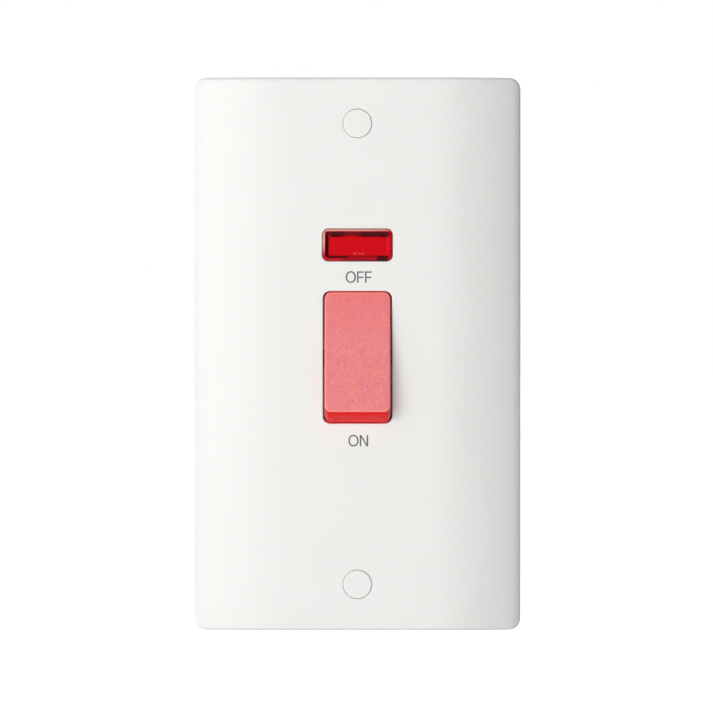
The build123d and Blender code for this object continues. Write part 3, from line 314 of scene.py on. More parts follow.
def rocker_side(n, toward, y, z, deep):
    """The polished sides: a sunk panel in each end painted paler as a reflection, and painted shade
    darkening the long sides.
    """
    side = n.blend(n.spread(rocker_patches(n)), SIDE_RED, SIDE_BRIGHT)
    out = n.length(n.math("SUBTRACT", y, PIVOT_Y), n.math("SUBTRACT", z, PIVOT_Z))
    sunk = n.ramp(out, PANEL_RADIUS - PANEL_DEPTH, PANEL_RADIUS, 1.0, 0.0)
    # The sunk end panel, painted paler as a reflection.
    side = n.blend(n.product(n.below(toward, 0.6), sunk), side, PANEL_REFLECTION_PAINTED)
    across = n.math("ABSOLUTE", n.parts_of(n.normal)["X"])
    # Painted shade: the long sides, facing across, are darker.
    side = n.blend(n.ramp(across, 0.6, 0.95), side, SIDE_LONG_SHADE_PAINTED)
    return n.blend(n.product(n.ramp(toward, 0.6, 0.8), deep), side, PANEL_STEP)


def rocker_red():
    """The rocker: a grained face that scatters pale light, a painted highlight along the face's edges, and
    polished sides.
    """
    n = Nodes("rocker_red").set(Specular_IOR_Level=0.1)
    _, y, z = n.parts_of(n.coords)
    toward = n.dot(n.normal, FACE_WAY)
    near_face = n.above(n.dot(n.coords, FACE_WAY), FACE_DISTANCE - EDGE_DEPTH)
    on_face = n.product(n.ramp(toward, 0.975, 0.992), near_face)
    # The face's edge fillet, painted pale as a highlight.
    on_edge_highlight = n.product(n.ramp(toward, 0.5, 0.7), near_face)
    side = rocker_side(n, toward, y, z, n.math("SUBTRACT", 1.0, near_face))
    base = n.blend(on_face, n.blend(on_edge_highlight, side, EDGE_HIGHLIGHT_PAINTED), rocker_face(n, z))
    gloss = n.ramp(on_face, 0.0, 1.0, out_low=0.2, out_high=0.6)
    grain = n.product(n.noise(scale=3800, detail=2.0), on_face)
    return n.finish(base, gloss, n.bump(grain, distance=0.05 * MM, strength=0.7))


# The window's reds

TRAY_RED = (0.57, 0.002, 0.008)
TRAY_BRIGHT = (0.66, 0.004, 0.011)
# Painted glint: a pale reflection near the window's foot.
PAINTED_GLINT = (0.82, 0.16, 0.11)
# Painted shade of the lens's inner walls, nearly black.
WALL_SHADE_PAINTED = (0.075, 0.001, 0.005)
RIM_RED = (0.6, 0.006, 0.016)
RIM_DARK = (0.33, 0.004, 0.012)
# Painted highlight on the rim's top and left.
RIM_HIGHLIGHT_PAINTED = (0.86, 0.37, 0.31)


def lens_inset(n, x, z):
    """How far a point lies inside the window's rounded outline."""
    beyond = []
    for value, low, high in ((x, LENS_LEFT, LENS_RIGHT), (z, LENS_BOTTOM, LENS_TOP)):
        away = n.math("ABSOLUTE", n.math("SUBTRACT", value, (low + high) / 2))
        beyond.append(n.math("SUBTRACT", away, (high - low) / 2 - LENS_CORNER))
    across, up = beyond
    in_corner = n.length(n.math("MAXIMUM", across, 0.0), n.math("MAXIMUM", up, 0.0))
    in_middle = n.math("MINIMUM", n.math("MAXIMUM", across, up), 0.0)
    return n.math("SUBTRACT", LENS_CORNER, n.math("ADD", in_corner, in_middle))


def lens_painted_shade(n, x, z):
    """Painted shade: dark bands at the top, left and foot of the window, and a darker block at its right.
    """
    ripple = n.spread(n.noise(scale=420, detail=3.0), -LENS_RIPPLE, LENS_RIPPLE)
    rippled_x, rippled_z = n.math("ADD", x, ripple), n.math("ADD", z, ripple)
    cloud = n.noise(scale=230, detail=2.0, stretch=(1, 1, 0.3))
    top_edge = n.math("SUBTRACT", rippled_z, n.ramp(cloud, 0.4, 0.6, out_high=-TOP_WAVE))
    top = n.product(n.above(top_edge, LENS_TOP - TOP_BAND), n.ramp(cloud, 0.35, 0.55, out_low=0.8))
    above_end = n.above(z, LENS_BOTTOM + LEFT_BAND_END)
    left = n.product(n.below(rippled_x, LENS_LEFT + LEFT_BAND), above_end)
    low = n.below(rippled_z, LENS_BOTTOM + FOOT_BAND)
    dark_foot = n.product(n.below(rippled_x, DARK_FOOT_END), n.above(x, LENS_LEFT + DARK_FOOT_START))
    foot = n.product(low, n.ramp(dark_foot, 0.0, 1.0, out_low=0.45, out_high=0.95))
    block = n.product(n.above(rippled_x, BLOCK_START), n.below(x, LENS_RIGHT - BLOCK_MARGIN), low)
    return n.largest(top, left, foot), block


def lens_tray(n, x, z):
    """The bright tray behind the window, with a broken painted glint near its foot."""
    streaks = n.noise(scale=160, detail=2.0, stretch=(0.4, 1, 2.2))
    # The painted glint, broken up by noise.
    broken = n.ramp(n.noise(scale=1500, detail=1.0), 0.42, 0.6, out_high=0.9)
    glint = n.product(n.within(x, GLINT_X), n.within(z, GLINT_Z), broken)
    return n.blend(glint, n.blend(n.spread(streaks), TRAY_RED, TRAY_BRIGHT), PAINTED_GLINT)


def lens_rim(n, x, z):
    """The window's rounded rim, with a painted highlight at the top and left, and darker along the middle
    of its foot.
    """
    # The painted highlight, fading toward the right and the foot.
    fade = n.ramp(x, RIM_HIGHLIGHT_FADE_X, LENS_RIGHT, out_low=1.0, out_high=0.55)
    highlight_top = n.product(n.above(z, LENS_TOP - LENS_RIM), fade)
    highlight_left = n.product(n.below(x, LENS_LEFT + LENS_RIM), n.ramp(z, *RIM_HIGHLIGHT_FADE_Z))
    low_rim = n.product(n.below(z, LENS_BOTTOM + LENS_RIM), n.within(x, LOW_RIM_X))
    return n.blend(n.largest(highlight_top, highlight_left), n.blend(low_rim, RIM_RED, RIM_DARK), RIM_HIGHLIGHT_PAINTED)


def lens_red():
    """The window: clear red over the tray, with painted shade, nearly black, along its inner walls."""
    n = Nodes("lens_red").set(Roughness=0.05, Specular_IOR_Level=0.09, IOR=1.49)
    x, _, z = n.parts_of(n.coords)
    inside = n.above(lens_inset(n, x, z), LENS_RIM)
    bands, block = lens_painted_shade(n, x, z)
    # The painted shade: dark bands inside the rim, and the block at the right.
    shade = n.largest(n.product(bands, inside), block)
    clear = n.blend(shade, lens_tray(n, x, z), WALL_SHADE_PAINTED)
    base = n.blend(n.largest(inside, block), lens_rim(n, x, z), clear)
    return n.finish(base, normal=n.bump(n.noise(scale=60, detail=1.0), distance=0.02 * MM, strength=0.4))


WHITE = (0.83, 0.831, 0.811)
GREY_WHITE = (0.68, 0.68, 0.655)
MATERIALS = {
    "white_plastic": plastic("plate_white", WHITE, 0.2, grain=0.003, mottle=0.006),
    "red_plastic": rocker_red(),
    "red_lens": lens_red(),
    "base_plastic": plastic("base_grey_white", GREY_WHITE, 0.42, grain=0.012),
    "plunger_plastic": plastic("nylon", (0.8, 0.76, 0.64), 0.38, grain=0.004),
    "lead_sleeve": plastic("lead_sleeve", (0.8, 0.8, 0.76), 0.45, grain=0.006, mottle=0.04),
    "resistor_body": plastic("resistor_lacquer", (0.52, 0.36, 0.2), 0.3, grain=0.02, mottle=0.08),
    "lamp_glass": lamp_glass(),
    "brass": metal("brass", (0.75, 0.53, 0.22), 0.28, brushed=(1, 1, 9), tarnish=0.25),
    "copper_strip": metal("copper", (0.78, 0.36, 0.2), 0.26, brushed=(8, 1, 1), tarnish=0.3),
    "silver": metal("silver", (0.86, 0.85, 0.82), 0.22, tarnish=0.2),
    "nickel": metal("nickel", (0.62, 0.6, 0.57), 0.25, brushed=(1, 8, 8)),
    "spring_steel": metal("spring_steel", (0.55, 0.55, 0.55), 0.25),
    "zinc_steel": metal("zinc", (0.66, 0.67, 0.68), 0.3, brushed=(9, 1, 9), tarnish=0.18, scale=250),
}
PRINT_GREY = plastic("print_grey", (0.1, 0.103, 0.098), 0.5, grain=0.004, mottle=0.05)
BANDS = {
    "yellow": plastic("band_yellow", (0.7, 0.5, 0.05), 0.3),
    "violet": plastic("band_violet", (0.2, 0.06, 0.3), 0.3),
    "gold": plastic("band_gold", (0.6, 0.4, 0.1), 0.3),
}

for part in frame["record"]["subparts"]:
    node = NODES[part["node"]]
    node.data.materials.clear()
    node.data.materials.append(MATERIALS[part["material_slot"]])


# Mesh helpers

SEGMENTS = 40
SHARP_ANGLE = radians(35)


def turn_of(k, count):
    """The angle of one of count even steps round a circle."""
    return 2 * pi * k / count


def piece(name, mesh, material, body, smooth=True):
    """A finished object that rides on a body."""
    made = bpy.data.objects.new(name, mesh)
    bpy.context.scene.collection.objects.link(made)
    made.data.materials.append(material)
    for polygon in made.data.polygons:
        polygon.use_smooth = smooth
    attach(made, body)
    return made


def mesh_from(bm, name):
    bmesh.ops.recalc_face_normals(bm, faces=bm.faces)
    mesh = bpy.data.meshes.new(name)
    bm.to_mesh(mesh)
    bm.free()
    return mesh


def sharpen(made):
    """Keeps the edges over the sharp angle out of the smooth shading."""
    bm = bmesh.new()
    bm.from_mesh(made.data)
    for edge in bm.edges:
        between_two = len(edge.link_faces) == 2
        edge.smooth = not (between_two and edge.calc_face_angle(0) > SHARP_ANGLE)
    bm.to_mesh(made.data)
    bm.free()


def slab(bm, near, far):
    """Closes the space between two loops of vertices."""
    bm.faces.new(near)
    bm.faces.new(far[::-1])
    count = len(near)
    for i in range(count):
        j = (i + 1) % count
        bm.faces.new((near[j], near[i], far[i], far[j]))


def prism(bm, outline, y0, y1):
    """A flat outline of (x, z) points as a slab between two depths."""
    near = [bm.verts.new((x, y0, z)) for x, z in outline]
    far = [bm.verts.new((x, y1, z)) for x, z in outline]
    slab(bm, near, far)


def ring_prism(bm, outer, inner, y0, y1):
    """A slab between two closed outlines with the same number of points."""
    count = len(outer)
    loops = [[bm.verts.new((x, y, z)) for x, z in line] for y in (y0, y1) for line in (outer, inner)]
    front_out, front_in, back_out, back_in = loops
    for i in range(count):
        j = (i + 1) % count
        bm.faces.new((front_out[i], front_out[j], front_in[j], front_in[i]))
        bm.faces.new((back_out[j], back_out[i], back_in[i], back_in[j]))
        bm.faces.new((front_out[j], front_out[i], back_out[i], back_out[j]))
        bm.faces.new((front_in[i], front_in[j], back_in[j], back_in[i]))


def skin(bm, loops, following):
    """Joins each loop of vertices to the one that follows it."""
    for near, far in zip(loops, following):
        for k in range(len(near)):
            m = (k + 1) % len(near)
            bm.faces.new((near[k], near[m], far[m], far[k]))


def closed_tube(bm, loops):
    """A skin over the loops, with a face at each end."""
    skin(bm, loops, loops[1:])
    bm.faces.new(loops[0])
    bm.faces.new(loops[-1][::-1])


# Words and letters, drawn with even strokes, in millimetres

LETTER_HEIGHT = 2.95
STROKE = 0.38
LETTER_GAP = 0.3
O_WIDTH = 2.66
O_OVERSHOOT = 0.06
O_ROUNDNESS = 0.93
O_POINTS = 64
O_THIN_STROKE = STROKE * 0.95
F_WIDTH = 1.8
F_ARM = STROKE * 0.92
F_MIDDLE_WIDTH = F_WIDTH * 0.9
F_MIDDLE_HEIGHT = LETTER_HEIGHT * 0.47
N_WIDTH = 2.2
N_SLOPE = STROKE * 1.12
N_NOTCH = STROKE * 1.55
L_WIDTH = 1.75


def oval(half_width, half_height):
    """A slightly squared oval round the middle of the letter O."""
    points = []
    for i in range(O_POINTS):
        a = turn_of(i, O_POINTS)
        x = half_width * abs(cos(a)) ** O_ROUNDNESS * (1 if cos(a) >= 0 else -1)
        z = half_height * abs(sin(a)) ** O_ROUNDNESS * (1 if sin(a) >= 0 else -1)
        points.append((O_WIDTH / 2 + x, LETTER_HEIGHT / 2 + z))
    return points


def letter_o():
    """(width, [outlines], [(outer ring, inner ring)]), from the lower left corner, as for each letter."""
    half_height = LETTER_HEIGHT / 2 + O_OVERSHOOT
    inner = oval(O_WIDTH / 2 - STROKE, half_height - O_THIN_STROKE)
    return O_WIDTH, [], [(oval(O_WIDTH / 2, half_height), inner)]


def letter_f():
    h, s, w = LETTER_HEIGHT, STROKE, F_WIDTH
    low, high = F_MIDDLE_HEIGHT - F_ARM / 2, F_MIDDLE_HEIGHT + F_ARM / 2
    outline = [
        (0, 0), (s, 0), (s, low), (F_MIDDLE_WIDTH, low), (F_MIDDLE_WIDTH, high), (s, high),
        (s, h - F_ARM), (w, h - F_ARM), (w, h), (0, h),
    ]
    return w, [outline], []


def letter_n():
    h, s, w = LETTER_HEIGHT, STROKE, N_WIDTH
    outline = [
        (0, 0), (s, 0), (s, h - N_NOTCH), (w - N_SLOPE, 0), (w, 0), (w, h),
        (w - s, h), (w - s, N_NOTCH), (N_SLOPE, h), (0, h),
    ]
    return w, [outline], []


def letter_l():
    h, s, w = LETTER_HEIGHT, STROKE, L_WIDTH
    return w, [[(0, 0), (w, 0), (w, s), (s, s), (s, h), (0, h)]], []


LETTERS = {"O": letter_o, "F": letter_f, "N": letter_n, "L": letter_l}


def word(name, text, x, z, y_face, raise_to, material, scale=1.0, flip=1):
    """A word centred on x and z, raised from y_face to raise_to. flip -1 reads from behind."""
    letters = [LETTERS[letter]() for letter in text]
    total = sum(width for width, _, _ in letters) + LETTER_GAP * (len(letters) - 1)
    bm = bmesh.new()

    def place(points, start):
        return [
            (x + flip * (px + start) * scale * MM, z + (pz - LETTER_HEIGHT / 2) * scale * MM)
            for px, pz in points
        ]

    start = -total / 2
    for width, outlines, rings in letters:
        for outline in outlines:
            prism(bm, place(outline, start), y_face, raise_to)
        for outer, inner in rings:
            ring_prism(bm, place(outer, start), place(inner, start), y_face, raise_to)
        start += width + LETTER_GAP
    piece(name, mesh_from(bm, name), material, "plate", smooth=False)


PRINT_RAISE = 0.03 * MM
OFF_PLACE = (0.35 * MM, 20.1 * MM)
ON_PLACE = (0.2 * MM, -22.7 * MM)
word("word_off", "OFF", *OFF_PLACE, PLATE_FRONT, PLATE_FRONT - PRINT_RAISE, PRINT_GREY)
word("word_on", "ON", *ON_PLACE, PLATE_FRONT, PLATE_FRONT - PRINT_RAISE, PRINT_GREY)


# Screws with real threads and driver recesses, in place of the plain CAD ones

HEAD_FACE = ((0.0, 0.55), (0.04, 0.74))
DOME_START = 0.08
DOME_STEPS = 6
HEAD_SEAT = ((0.05, 1.0), (0.0, 0.97))
NECK_START = 0.01 * MM
THREAD_STEPS = 10
THREAD_DEPTH = 0.61
THREAD_SLOPE = 1.6
THREAD_ROOT = 0.2
THREAD_START = 0.02 * MM
POINTED_LENGTH = 1.1
CUT_LENGTH = 0.35
POINTED_TIP = ((0.5, 0.7), (0.0, 0.15))
CUT_TIP = ((0.4, 0.97), (0.0, 0.78))
CROSS_WIDTH = 0.95 * MM
CROSS_TAPER = 0.4
CROSS_REACH = 0.66
CROSS_DEPTH = 0.75
CROSS_DEEPEST = 1.5 * MM
CROSS_MOUTH = (-0.3, 1.0)
CROSS_FLOOR = (1.0, 0.55)


class Screw:
    """A kind of screw along Y. out is the way its face looks, +1 or -1.
    neck is (radius, length) of a plain stretch under the head."""

    def __init__(self, out, head_height, shank, pitch, domed, neck=None, pointed=False):
        self.out = out
        self.head_height = head_height
        self.shank = shank
        self.pitch = pitch
        self.domed = domed
        self.neck = neck
        self.pointed = pointed


FIXING_SCREW = Screw(
    out=-1, head_height=2.2 * MM, shank=1.75 * MM, pitch=0.6 * MM, domed=0.5, neck=(1.5 * MM, 4.0 * MM)
)
CLAMP_SCREW = Screw(out=1, head_height=2.8 * MM, shank=2.95 * MM, pitch=1.0 * MM, domed=0.2)
EARTH_SCREW = Screw(out=1, head_height=2.2 * MM, shank=1.95 * MM, pitch=0.7 * MM, domed=0.25)
BASE_SCREW = Screw(
    out=1, head_height=2.0 * MM, shank=1.4 * MM, pitch=1.1 * MM, domed=0.45, pointed=True
)
BASE_SCREW_HEAD = 2.7 * MM


def head_rings(screw, head_y, radius):
    """Rings of a domed head, each a depth and a radius, from inside its face to its seat."""
    tall = screw.out * screw.head_height
    face_y = head_y + tall
    rings = [(face_y - tall * drop, radius * share) for drop, share in HEAD_FACE]
    half = screw.domed / 2
    for step in range(1, DOME_STEPS + 1):
        a = step / DOME_STEPS * pi / 2
        drop = DOME_START + screw.domed * (1 - cos(a))
        rings.append((face_y - tall * drop, radius * (1 - half + half * sin(a))))
    rings += [(head_y + tall * rise, radius * share) for rise, share in HEAD_SEAT]
    return rings


def thread_rings(length, root, crest, pitch):
    """Rings of radii along a thread that fades out over one pitch at both ends."""
    count = int(length / pitch * THREAD_STEPS)
    rings = []
    for i in range(count + 1):
        along = length * i / count
        ease = max(0.0, min(1.0, along / pitch, (length - along) / pitch))
        radii = []
        for k in range(SEGMENTS):
            phase = (along / pitch - k / SEGMENTS) % 1.0
            tooth = THREAD_SLOPE * (1 - abs(2 * phase - 1)) - THREAD_ROOT
            radii.append(root + (crest - root) * max(0.0, min(1.0, tooth)) * ease)
        rings.append((along, radii))
    return rings


def shank_rings(screw, start, tip_y):
    """Rings of a threaded shank, with a pointed or a cut tip."""
    inward = -screw.out
    root = screw.shank - THREAD_DEPTH * screw.pitch
    length = abs(tip_y - start)
    tip = screw.shank * (POINTED_LENGTH if screw.pointed else CUT_LENGTH)
    rings = []
    for along, radii in thread_rings(length - tip, root, screw.shank, screw.pitch):
        rings.append((start + inward * (along + THREAD_START * (1 - along / length)), radii))
    for back, share in POINTED_TIP if screw.pointed else CUT_TIP:
        rings.append((tip_y - inward * tip * back, root * share))
    return rings


def turned(rings, x, z):
    """A closed skin over rings of radii, about an axis along Y."""
    bm = bmesh.new()
    turns = [turn_of(k, SEGMENTS) for k in range(SEGMENTS)]
    loops = []
    for y, radii in rings:
        if not isinstance(radii, list):
            radii = [radii] * SEGMENTS
        loops.append([bm.verts.new((x + r * cos(a), y, z + r * sin(a))) for a, r in zip(turns, radii)])
    closed_tube(bm, loops)
    return bm


def cross_cutter(x, z, y_face, inward, reach, depth):
    """A tapered driver cross that goes into a head's face in the direction inward (+1 or -1)."""
    bm = bmesh.new()
    for upright in (False, True):
        loops = []
        for level, share in (CROSS_MOUTH, CROSS_FLOOR):
            along, across = reach * share, CROSS_WIDTH / 2 * (1 - CROSS_TAPER * (1 - share))
            loop = []
            for a, b in ((-along, -across), (along, -across), (along, across), (-along, across)):
                dx, dz = (b, -a) if upright else (a, b)
                loop.append(bm.verts.new((x + dx, y_face + inward * level * depth, z + dz)))
            loops.append(loop)
        slab(bm, *loops)
    return mesh_from(bm, "cutter")


def carve(mesh, cutter_mesh):
    """The mesh with the cutter's volume taken out of it."""
    body = bpy.data.objects.new("carved", mesh)
    cutter = bpy.data.objects.new("cutter", cutter_mesh)
    for o in (body, cutter):
        bpy.context.scene.collection.objects.link(o)
    cut = body.modifiers.new("cut", "BOOLEAN")
    cut.operation = "DIFFERENCE"
    cut.solver = "EXACT"
    cut.use_self = True
    cut.object = cutter
    bpy.context.view_layer.update()
    seen = body.evaluated_get(bpy.context.evaluated_depsgraph_get())
    result = bpy.data.meshes.new_from_object(seen)
    for o in (body, cutter):
        bpy.data.objects.remove(o)
    return result


def screw_mesh(screw, x, z, head_y, tip_y, head_radius):
    """A screw along Y, where head_y is the head's seat."""
    inward = -screw.out
    rings = head_rings(screw, head_y, head_radius)
    start = head_y
    if screw.neck:
        neck_radius, neck_length = screw.neck
        start = head_y + inward * neck_length
        rings.append((head_y + inward * NECK_START, neck_radius))
        rings.append((start, neck_radius))
    rings += shank_rings(screw, start, tip_y)
    mesh = mesh_from(turned(rings, x, z), "screw")
    face_y = head_y + screw.out * screw.head_height
    depth = min(screw.head_height * CROSS_DEPTH, CROSS_DEEPEST)
    return carve(mesh, cross_cutter(x, z, face_y, inward, head_radius * CROSS_REACH, depth))


def zinc_piece(name, mesh, body):
    made = piece(name, mesh, MATERIALS["zinc_steel"], body)
    sharpen(made)
    return made


def threaded_screw(screw, name, node, body):
    """A screw in the place and size of its CAD node."""
    low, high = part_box(node)
    x, z = (low.x + high.x) / 2, (low.z + high.z) / 2
    face_y, tip_y = (high.y, low.y) if screw.out > 0 else (low.y, high.y)
    head_y = face_y - screw.out * screw.head_height
    made = zinc_piece(name, screw_mesh(screw, x, z, head_y, tip_y, (high.x - low.x) / 2), body)
    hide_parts(node)


def threaded_base_screws():
    """The four screws that hold the base, which share one node."""
    low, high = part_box("base_screws")
    head_y = high.y - BASE_SCREW.head_height
    joined = bmesh.new()
    for x in (low.x + BASE_SCREW_HEAD, high.x - BASE_SCREW_HEAD):
        for z in (low.z + BASE_SCREW_HEAD, high.z - BASE_SCREW_HEAD):
            joined.from_mesh(screw_mesh(BASE_SCREW, x, z, head_y, low.y, BASE_SCREW_HEAD))
    mesh = bpy.data.meshes.new("base_screws_threaded")
    joined.to_mesh(mesh)
    joined.free()
    base_screws = zinc_piece("base_screws_threaded", mesh, "plate")
    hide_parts("base_screws")


for place in ("upper", "lower"):
    threaded_screw(FIXING_SCREW, f"fixing_screw_threaded_{place}", f"fixing_screw_{place}", "plate")
for pole in ("live", "neutral"):
    for way in ("line", "load"):
        node = f"{pole}_{way}_screw"
        threaded_screw(CLAMP_SCREW, f"{node}_threaded", node, node)
for side in ("left", "right"):
    node = f"earth_screw_{side}"
    threaded_screw(EARTH_SCREW, f"{node}_threaded", node, node)
threaded_base_screws()


# Springs in the rocker's sockets

COIL_FRONT = -7.5 * MM
COIL_BACK = 2.2 * MM
COIL_TURNS = 6
COIL_WIRE = 0.22 * MM
COIL_STEPS = 24
COIL_SIDES = 10


def coil_mesh(name, x, radius):
    """A round wire wound round the socket's middle, from its floor to the plunger."""
    bm = bmesh.new()
    loops = []
    count = COIL_TURNS * COIL_STEPS
    wound = COIL_BACK - COIL_FRONT - 2 * COIL_WIRE
    for i in range(count + 1):
        turn = turn_of(i, COIL_STEPS)
        y = COIL_BACK - COIL_WIRE - wound * i / count
        loop = []
        for k in range(COIL_SIDES):
            a = turn_of(k, COIL_SIDES)
            r = radius + COIL_WIRE * cos(a)
            loop.append(bm.verts.new((x + r * cos(turn), y + COIL_WIRE * sin(a), r * sin(turn))))
        loops.append(loop)
    closed_tube(bm, loops)
    pivot = Matrix.Translation((0, PIVOT_Y, PIVOT_Z))
    bm.transform(pivot @ Matrix.Rotation(-ROCKER_TILT, 4, "X"))
    return mesh_from(bm, name)


def coil(pole):
    """The spring of one pole."""
    low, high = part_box(f"{pole}_spring")
    x = (low.x + high.x) / 2
    mesh = coil_mesh(f"{pole}_coil", x, (high.x - low.x) / 2 - COIL_WIRE)
    made = piece(f"{pole}_coil", mesh, MATERIALS["spring_steel"], "rocker")
    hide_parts(f"{pole}_spring")
    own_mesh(made)


for pole in ("live", "neutral"):
    coil(pole)


# Marks on the back: the poles' letters and the resistor's colour bands

LETTER_RAISE = 0.3 * MM
LETTER_SCALE = 1.3
LETTER_SHARE = 0.52
BASE_MIDDLE_BACK = 17.116 * MM
BAND_ORDER = ("yellow", "violet", "yellow", "gold")
BAND_START = 1.5 * MM
BAND_PITCH = 1.1 * MM
BAND_WIDTH = 0.55 * MM
BAND_RAISE = 0.02 * MM
BAND_SINK = 0.03 * MM


def pole_letter(pole, way, letter):
    """A raised letter on the middle of the base, beside one of the pole's terminals."""
    low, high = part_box(f"{pole}_{way}_terminal")
    middle = (low + high) / 2
    word(f"{pole}_{way}_letter", letter, middle.x, middle.z * LETTER_SHARE, BASE_MIDDLE_BACK,
         BASE_MIDDLE_BACK + LETTER_RAISE, MATERIALS["base_plastic"], scale=LETTER_SCALE, flip=-1)


def band(name, x, middle, radius, material):
    """A thin painted ring round the resistor, which lies along X."""
    bm = bmesh.new()
    loops = []
    half = BAND_WIDTH / 2
    for dx, r in ((-half, radius - BAND_SINK), (-half, radius), (half, radius), (half, radius - BAND_SINK)):
        loop = []
        for k in range(SEGMENTS):
            a = turn_of(k, SEGMENTS)
            loop.append(bm.verts.new((x + dx, middle.y + r * cos(a), middle.z + r * sin(a))))
        loops.append(loop)
    skin(bm, loops, loops[1:] + loops[:1])
    piece(name, mesh_from(bm, name), material, "plate")


for pole, letter in (("live", "L"), ("neutral", "N")):
    for way in ("load", "line"):
        pole_letter(pole, way, letter)

low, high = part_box("neon_resistor")
band_radius = (high.z - low.z) / 2 + BAND_RAISE
for i, colour in enumerate(BAND_ORDER):
    x = low.x + BAND_START + BAND_PITCH * i
    band(f"resistor_band_{i + 1}", x, (low + high) / 2, band_radius, BANDS[colour])


# Camera, from straight in front

CAMERA_DISTANCE = 0.7
CAMERA_X = -0.26 * MM
CAMERA_Z = -0.68 * MM
CLIP_END = 20
PIXELS_PER_METRE = 3823.4
IMAGE_PIXELS = 713


def camera():
    """A camera that sees the plate's front at the photograph's scale."""
    data = bpy.data.cameras.new("camera")
    data.sensor_fit = "HORIZONTAL"
    focal_pixels = PIXELS_PER_METRE * (CAMERA_DISTANCE + PLATE_FRONT)
    data.angle = 2 * atan(IMAGE_PIXELS / 2 / focal_pixels)
    data.clip_end = CLIP_END
    made = bpy.data.objects.new("camera", data)
    made.location = (CAMERA_X, -CAMERA_DISTANCE, CAMERA_Z)
    made.rotation_euler = (pi / 2, 0, 0)
    bpy.context.scene.collection.objects.link(made)
    bpy.context.scene.camera = made


# Light: a pale room that is brighter to the left, large soft lamps before and behind, and a pale floor

ROOM = (0.02, 0.5)
REFLECTED = (0.1, 1.0)
BRIGHT_SIDE = Vector((-0.85, 0.4, 0.1)).normalized()
DARK_END = -0.7
BRIGHT_END = 0.8
FLOOR_LEVEL = -0.16
FLOOR_SIZE = 60.0
FLOOR_SEEN = 0.85
FLOOR_PALE = (0.82, 0.82, 0.82)
FLOOR_PALER = (0.85, 0.85, 0.85)
KEY_PLACE, KEY_SIZE, KEY_POWER = (-0.4, -0.92, -0.03), 1.2, 14.7
BEHIND_PLACE, BEHIND_SIZE, BEHIND_POWER = (-0.55, 0.85, 0.05), 0.9, 5.5


def unlit(tree, strength=1.0):
    """A background light that is white at a strength of 1."""
    node = tree.nodes.new("ShaderNodeBackground")
    node.inputs["Color"].default_value = (1, 1, 1, 1)
    if isinstance(strength, float):
        node.inputs["Strength"].default_value = strength
    else:
        tree.links.new(strength, node.inputs["Strength"])
    return node.outputs[0]


def mixed(tree, factor, first, second):
    node = tree.nodes.new("ShaderNodeMixShader")
    tree.links.new(factor, node.inputs["Fac"])
    tree.links.new(first, node.inputs[1])
    tree.links.new(second, node.inputs[2])
    return node.outputs[0]


def graded(tree, dark, bright):
    """A light whose strength grows toward the bright side of the room."""
    coords = tree.nodes.new("ShaderNodeTexCoord")
    toward = tree.nodes.new("ShaderNodeVectorMath")
    toward.operation = "DOT_PRODUCT"
    toward.inputs[1].default_value = BRIGHT_SIDE
    tree.links.new(coords.outputs["Generated"], toward.inputs[0])
    fade = tree.nodes.new("ShaderNodeMapRange")
    fade.inputs["From Min"].default_value = DARK_END
    fade.inputs["From Max"].default_value = BRIGHT_END
    fade.inputs["To Min"].default_value = dark
    fade.inputs["To Max"].default_value = bright
    tree.links.new(toward.outputs["Value"], fade.inputs["Value"])
    return unlit(tree, fade.outputs["Result"])


def seen_in(tree, *rays):
    """1 for rays of any of the named kinds."""
    path = tree.nodes.new("ShaderNodeLightPath")
    total = path.outputs[rays[0]]
    for ray in rays[1:]:
        either = tree.nodes.new("ShaderNodeMath")
        either.operation = "MAXIMUM"
        tree.links.new(total, either.inputs[0])
        tree.links.new(path.outputs[ray], either.inputs[1])
        total = either.outputs[0]
    return total


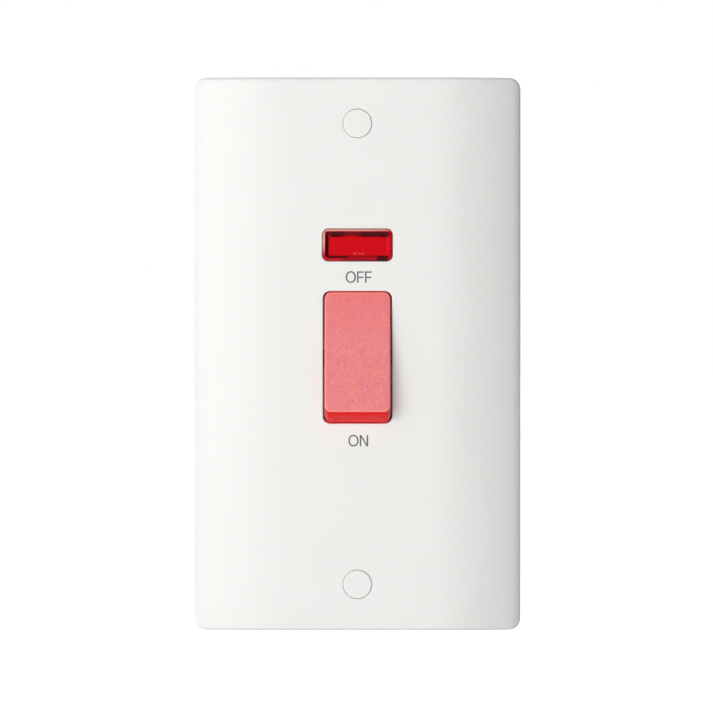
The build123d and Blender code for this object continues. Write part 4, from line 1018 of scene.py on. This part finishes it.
def world_light():
    """A room that lights the object dimly, is reflected brighter and is seen as white."""
    world = bpy.data.worlds.new("studio")
    bpy.context.scene.world = world
    world.use_nodes = True
    tree = world.node_tree
    tree.nodes.clear()
    in_gloss = seen_in(tree, "Is Glossy Ray", "Is Transmission Ray")
    mirrored = mixed(tree, in_gloss, graded(tree, *ROOM), graded(tree, *REFLECTED))
    shown = mixed(tree, seen_in(tree, "Is Camera Ray"), mirrored, unlit(tree))
    output = tree.nodes.new("ShaderNodeOutputWorld")
    tree.links.new(shown, output.inputs["Surface"])


def floor_material():
    """Pale matt that the camera and reflections see as white, with the object's shadow on it."""
    n = Nodes("floor_pale").set(Roughness=0.8, Specular_IOR_Level=0.0)
    n.finish(n.blend(n.spread(n.noise(scale=3)), FLOOR_PALE, FLOOR_PALER))
    glow = n.add("ShaderNodeEmission")
    glow.inputs["Strength"].default_value = FLOOR_SEEN
    lifted = n.add("ShaderNodeAddShader")
    n.join(n.shader.outputs[0], lifted.inputs[0])
    n.join(glow.outputs[0], lifted.inputs[1])
    seen = seen_in(n.tree, "Is Camera Ray", "Is Glossy Ray", "Is Transmission Ray")
    surface = n.tree.nodes["Material Output"].inputs["Surface"]
    n.join(mixed(n.tree, seen, n.shader.outputs[0], lifted.outputs[0]), surface)
    return n.material


def floor():
    """A wide floor below the plate."""
    bm = bmesh.new()
    half = FLOOR_SIZE / 2
    corners = [(-half, -half), (half, -half), (half, half), (-half, half)]
    bm.faces.new([bm.verts.new((x, y, FLOOR_LEVEL)) for x, y in corners])
    made = bpy.data.objects.new("floor", mesh_from(bm, "floor"))
    bpy.context.scene.collection.objects.link(made)
    made.data.materials.append(floor_material())


def lamp(name, place, size, power):
    """A soft round lamp that faces the middle of the plate and isn't mirrored in it."""
    data = bpy.data.lights.new(name, "AREA")
    data.shape = "DISK"
    data.size = size
    data.energy = power
    made = bpy.data.objects.new(name, data)
    made.location = place
    made.rotation_euler = (-Vector(place)).to_track_quat("-Z", "Y").to_euler()
    made.visible_glossy = False
    bpy.context.scene.collection.objects.link(made)


camera()
world_light()
floor()
lamp("key", KEY_PLACE, KEY_SIZE, KEY_POWER)
lamp("behind", BEHIND_PLACE, BEHIND_SIZE, BEHIND_POWER)

bpy.context.scene.view_settings.view_transform = "Standard"
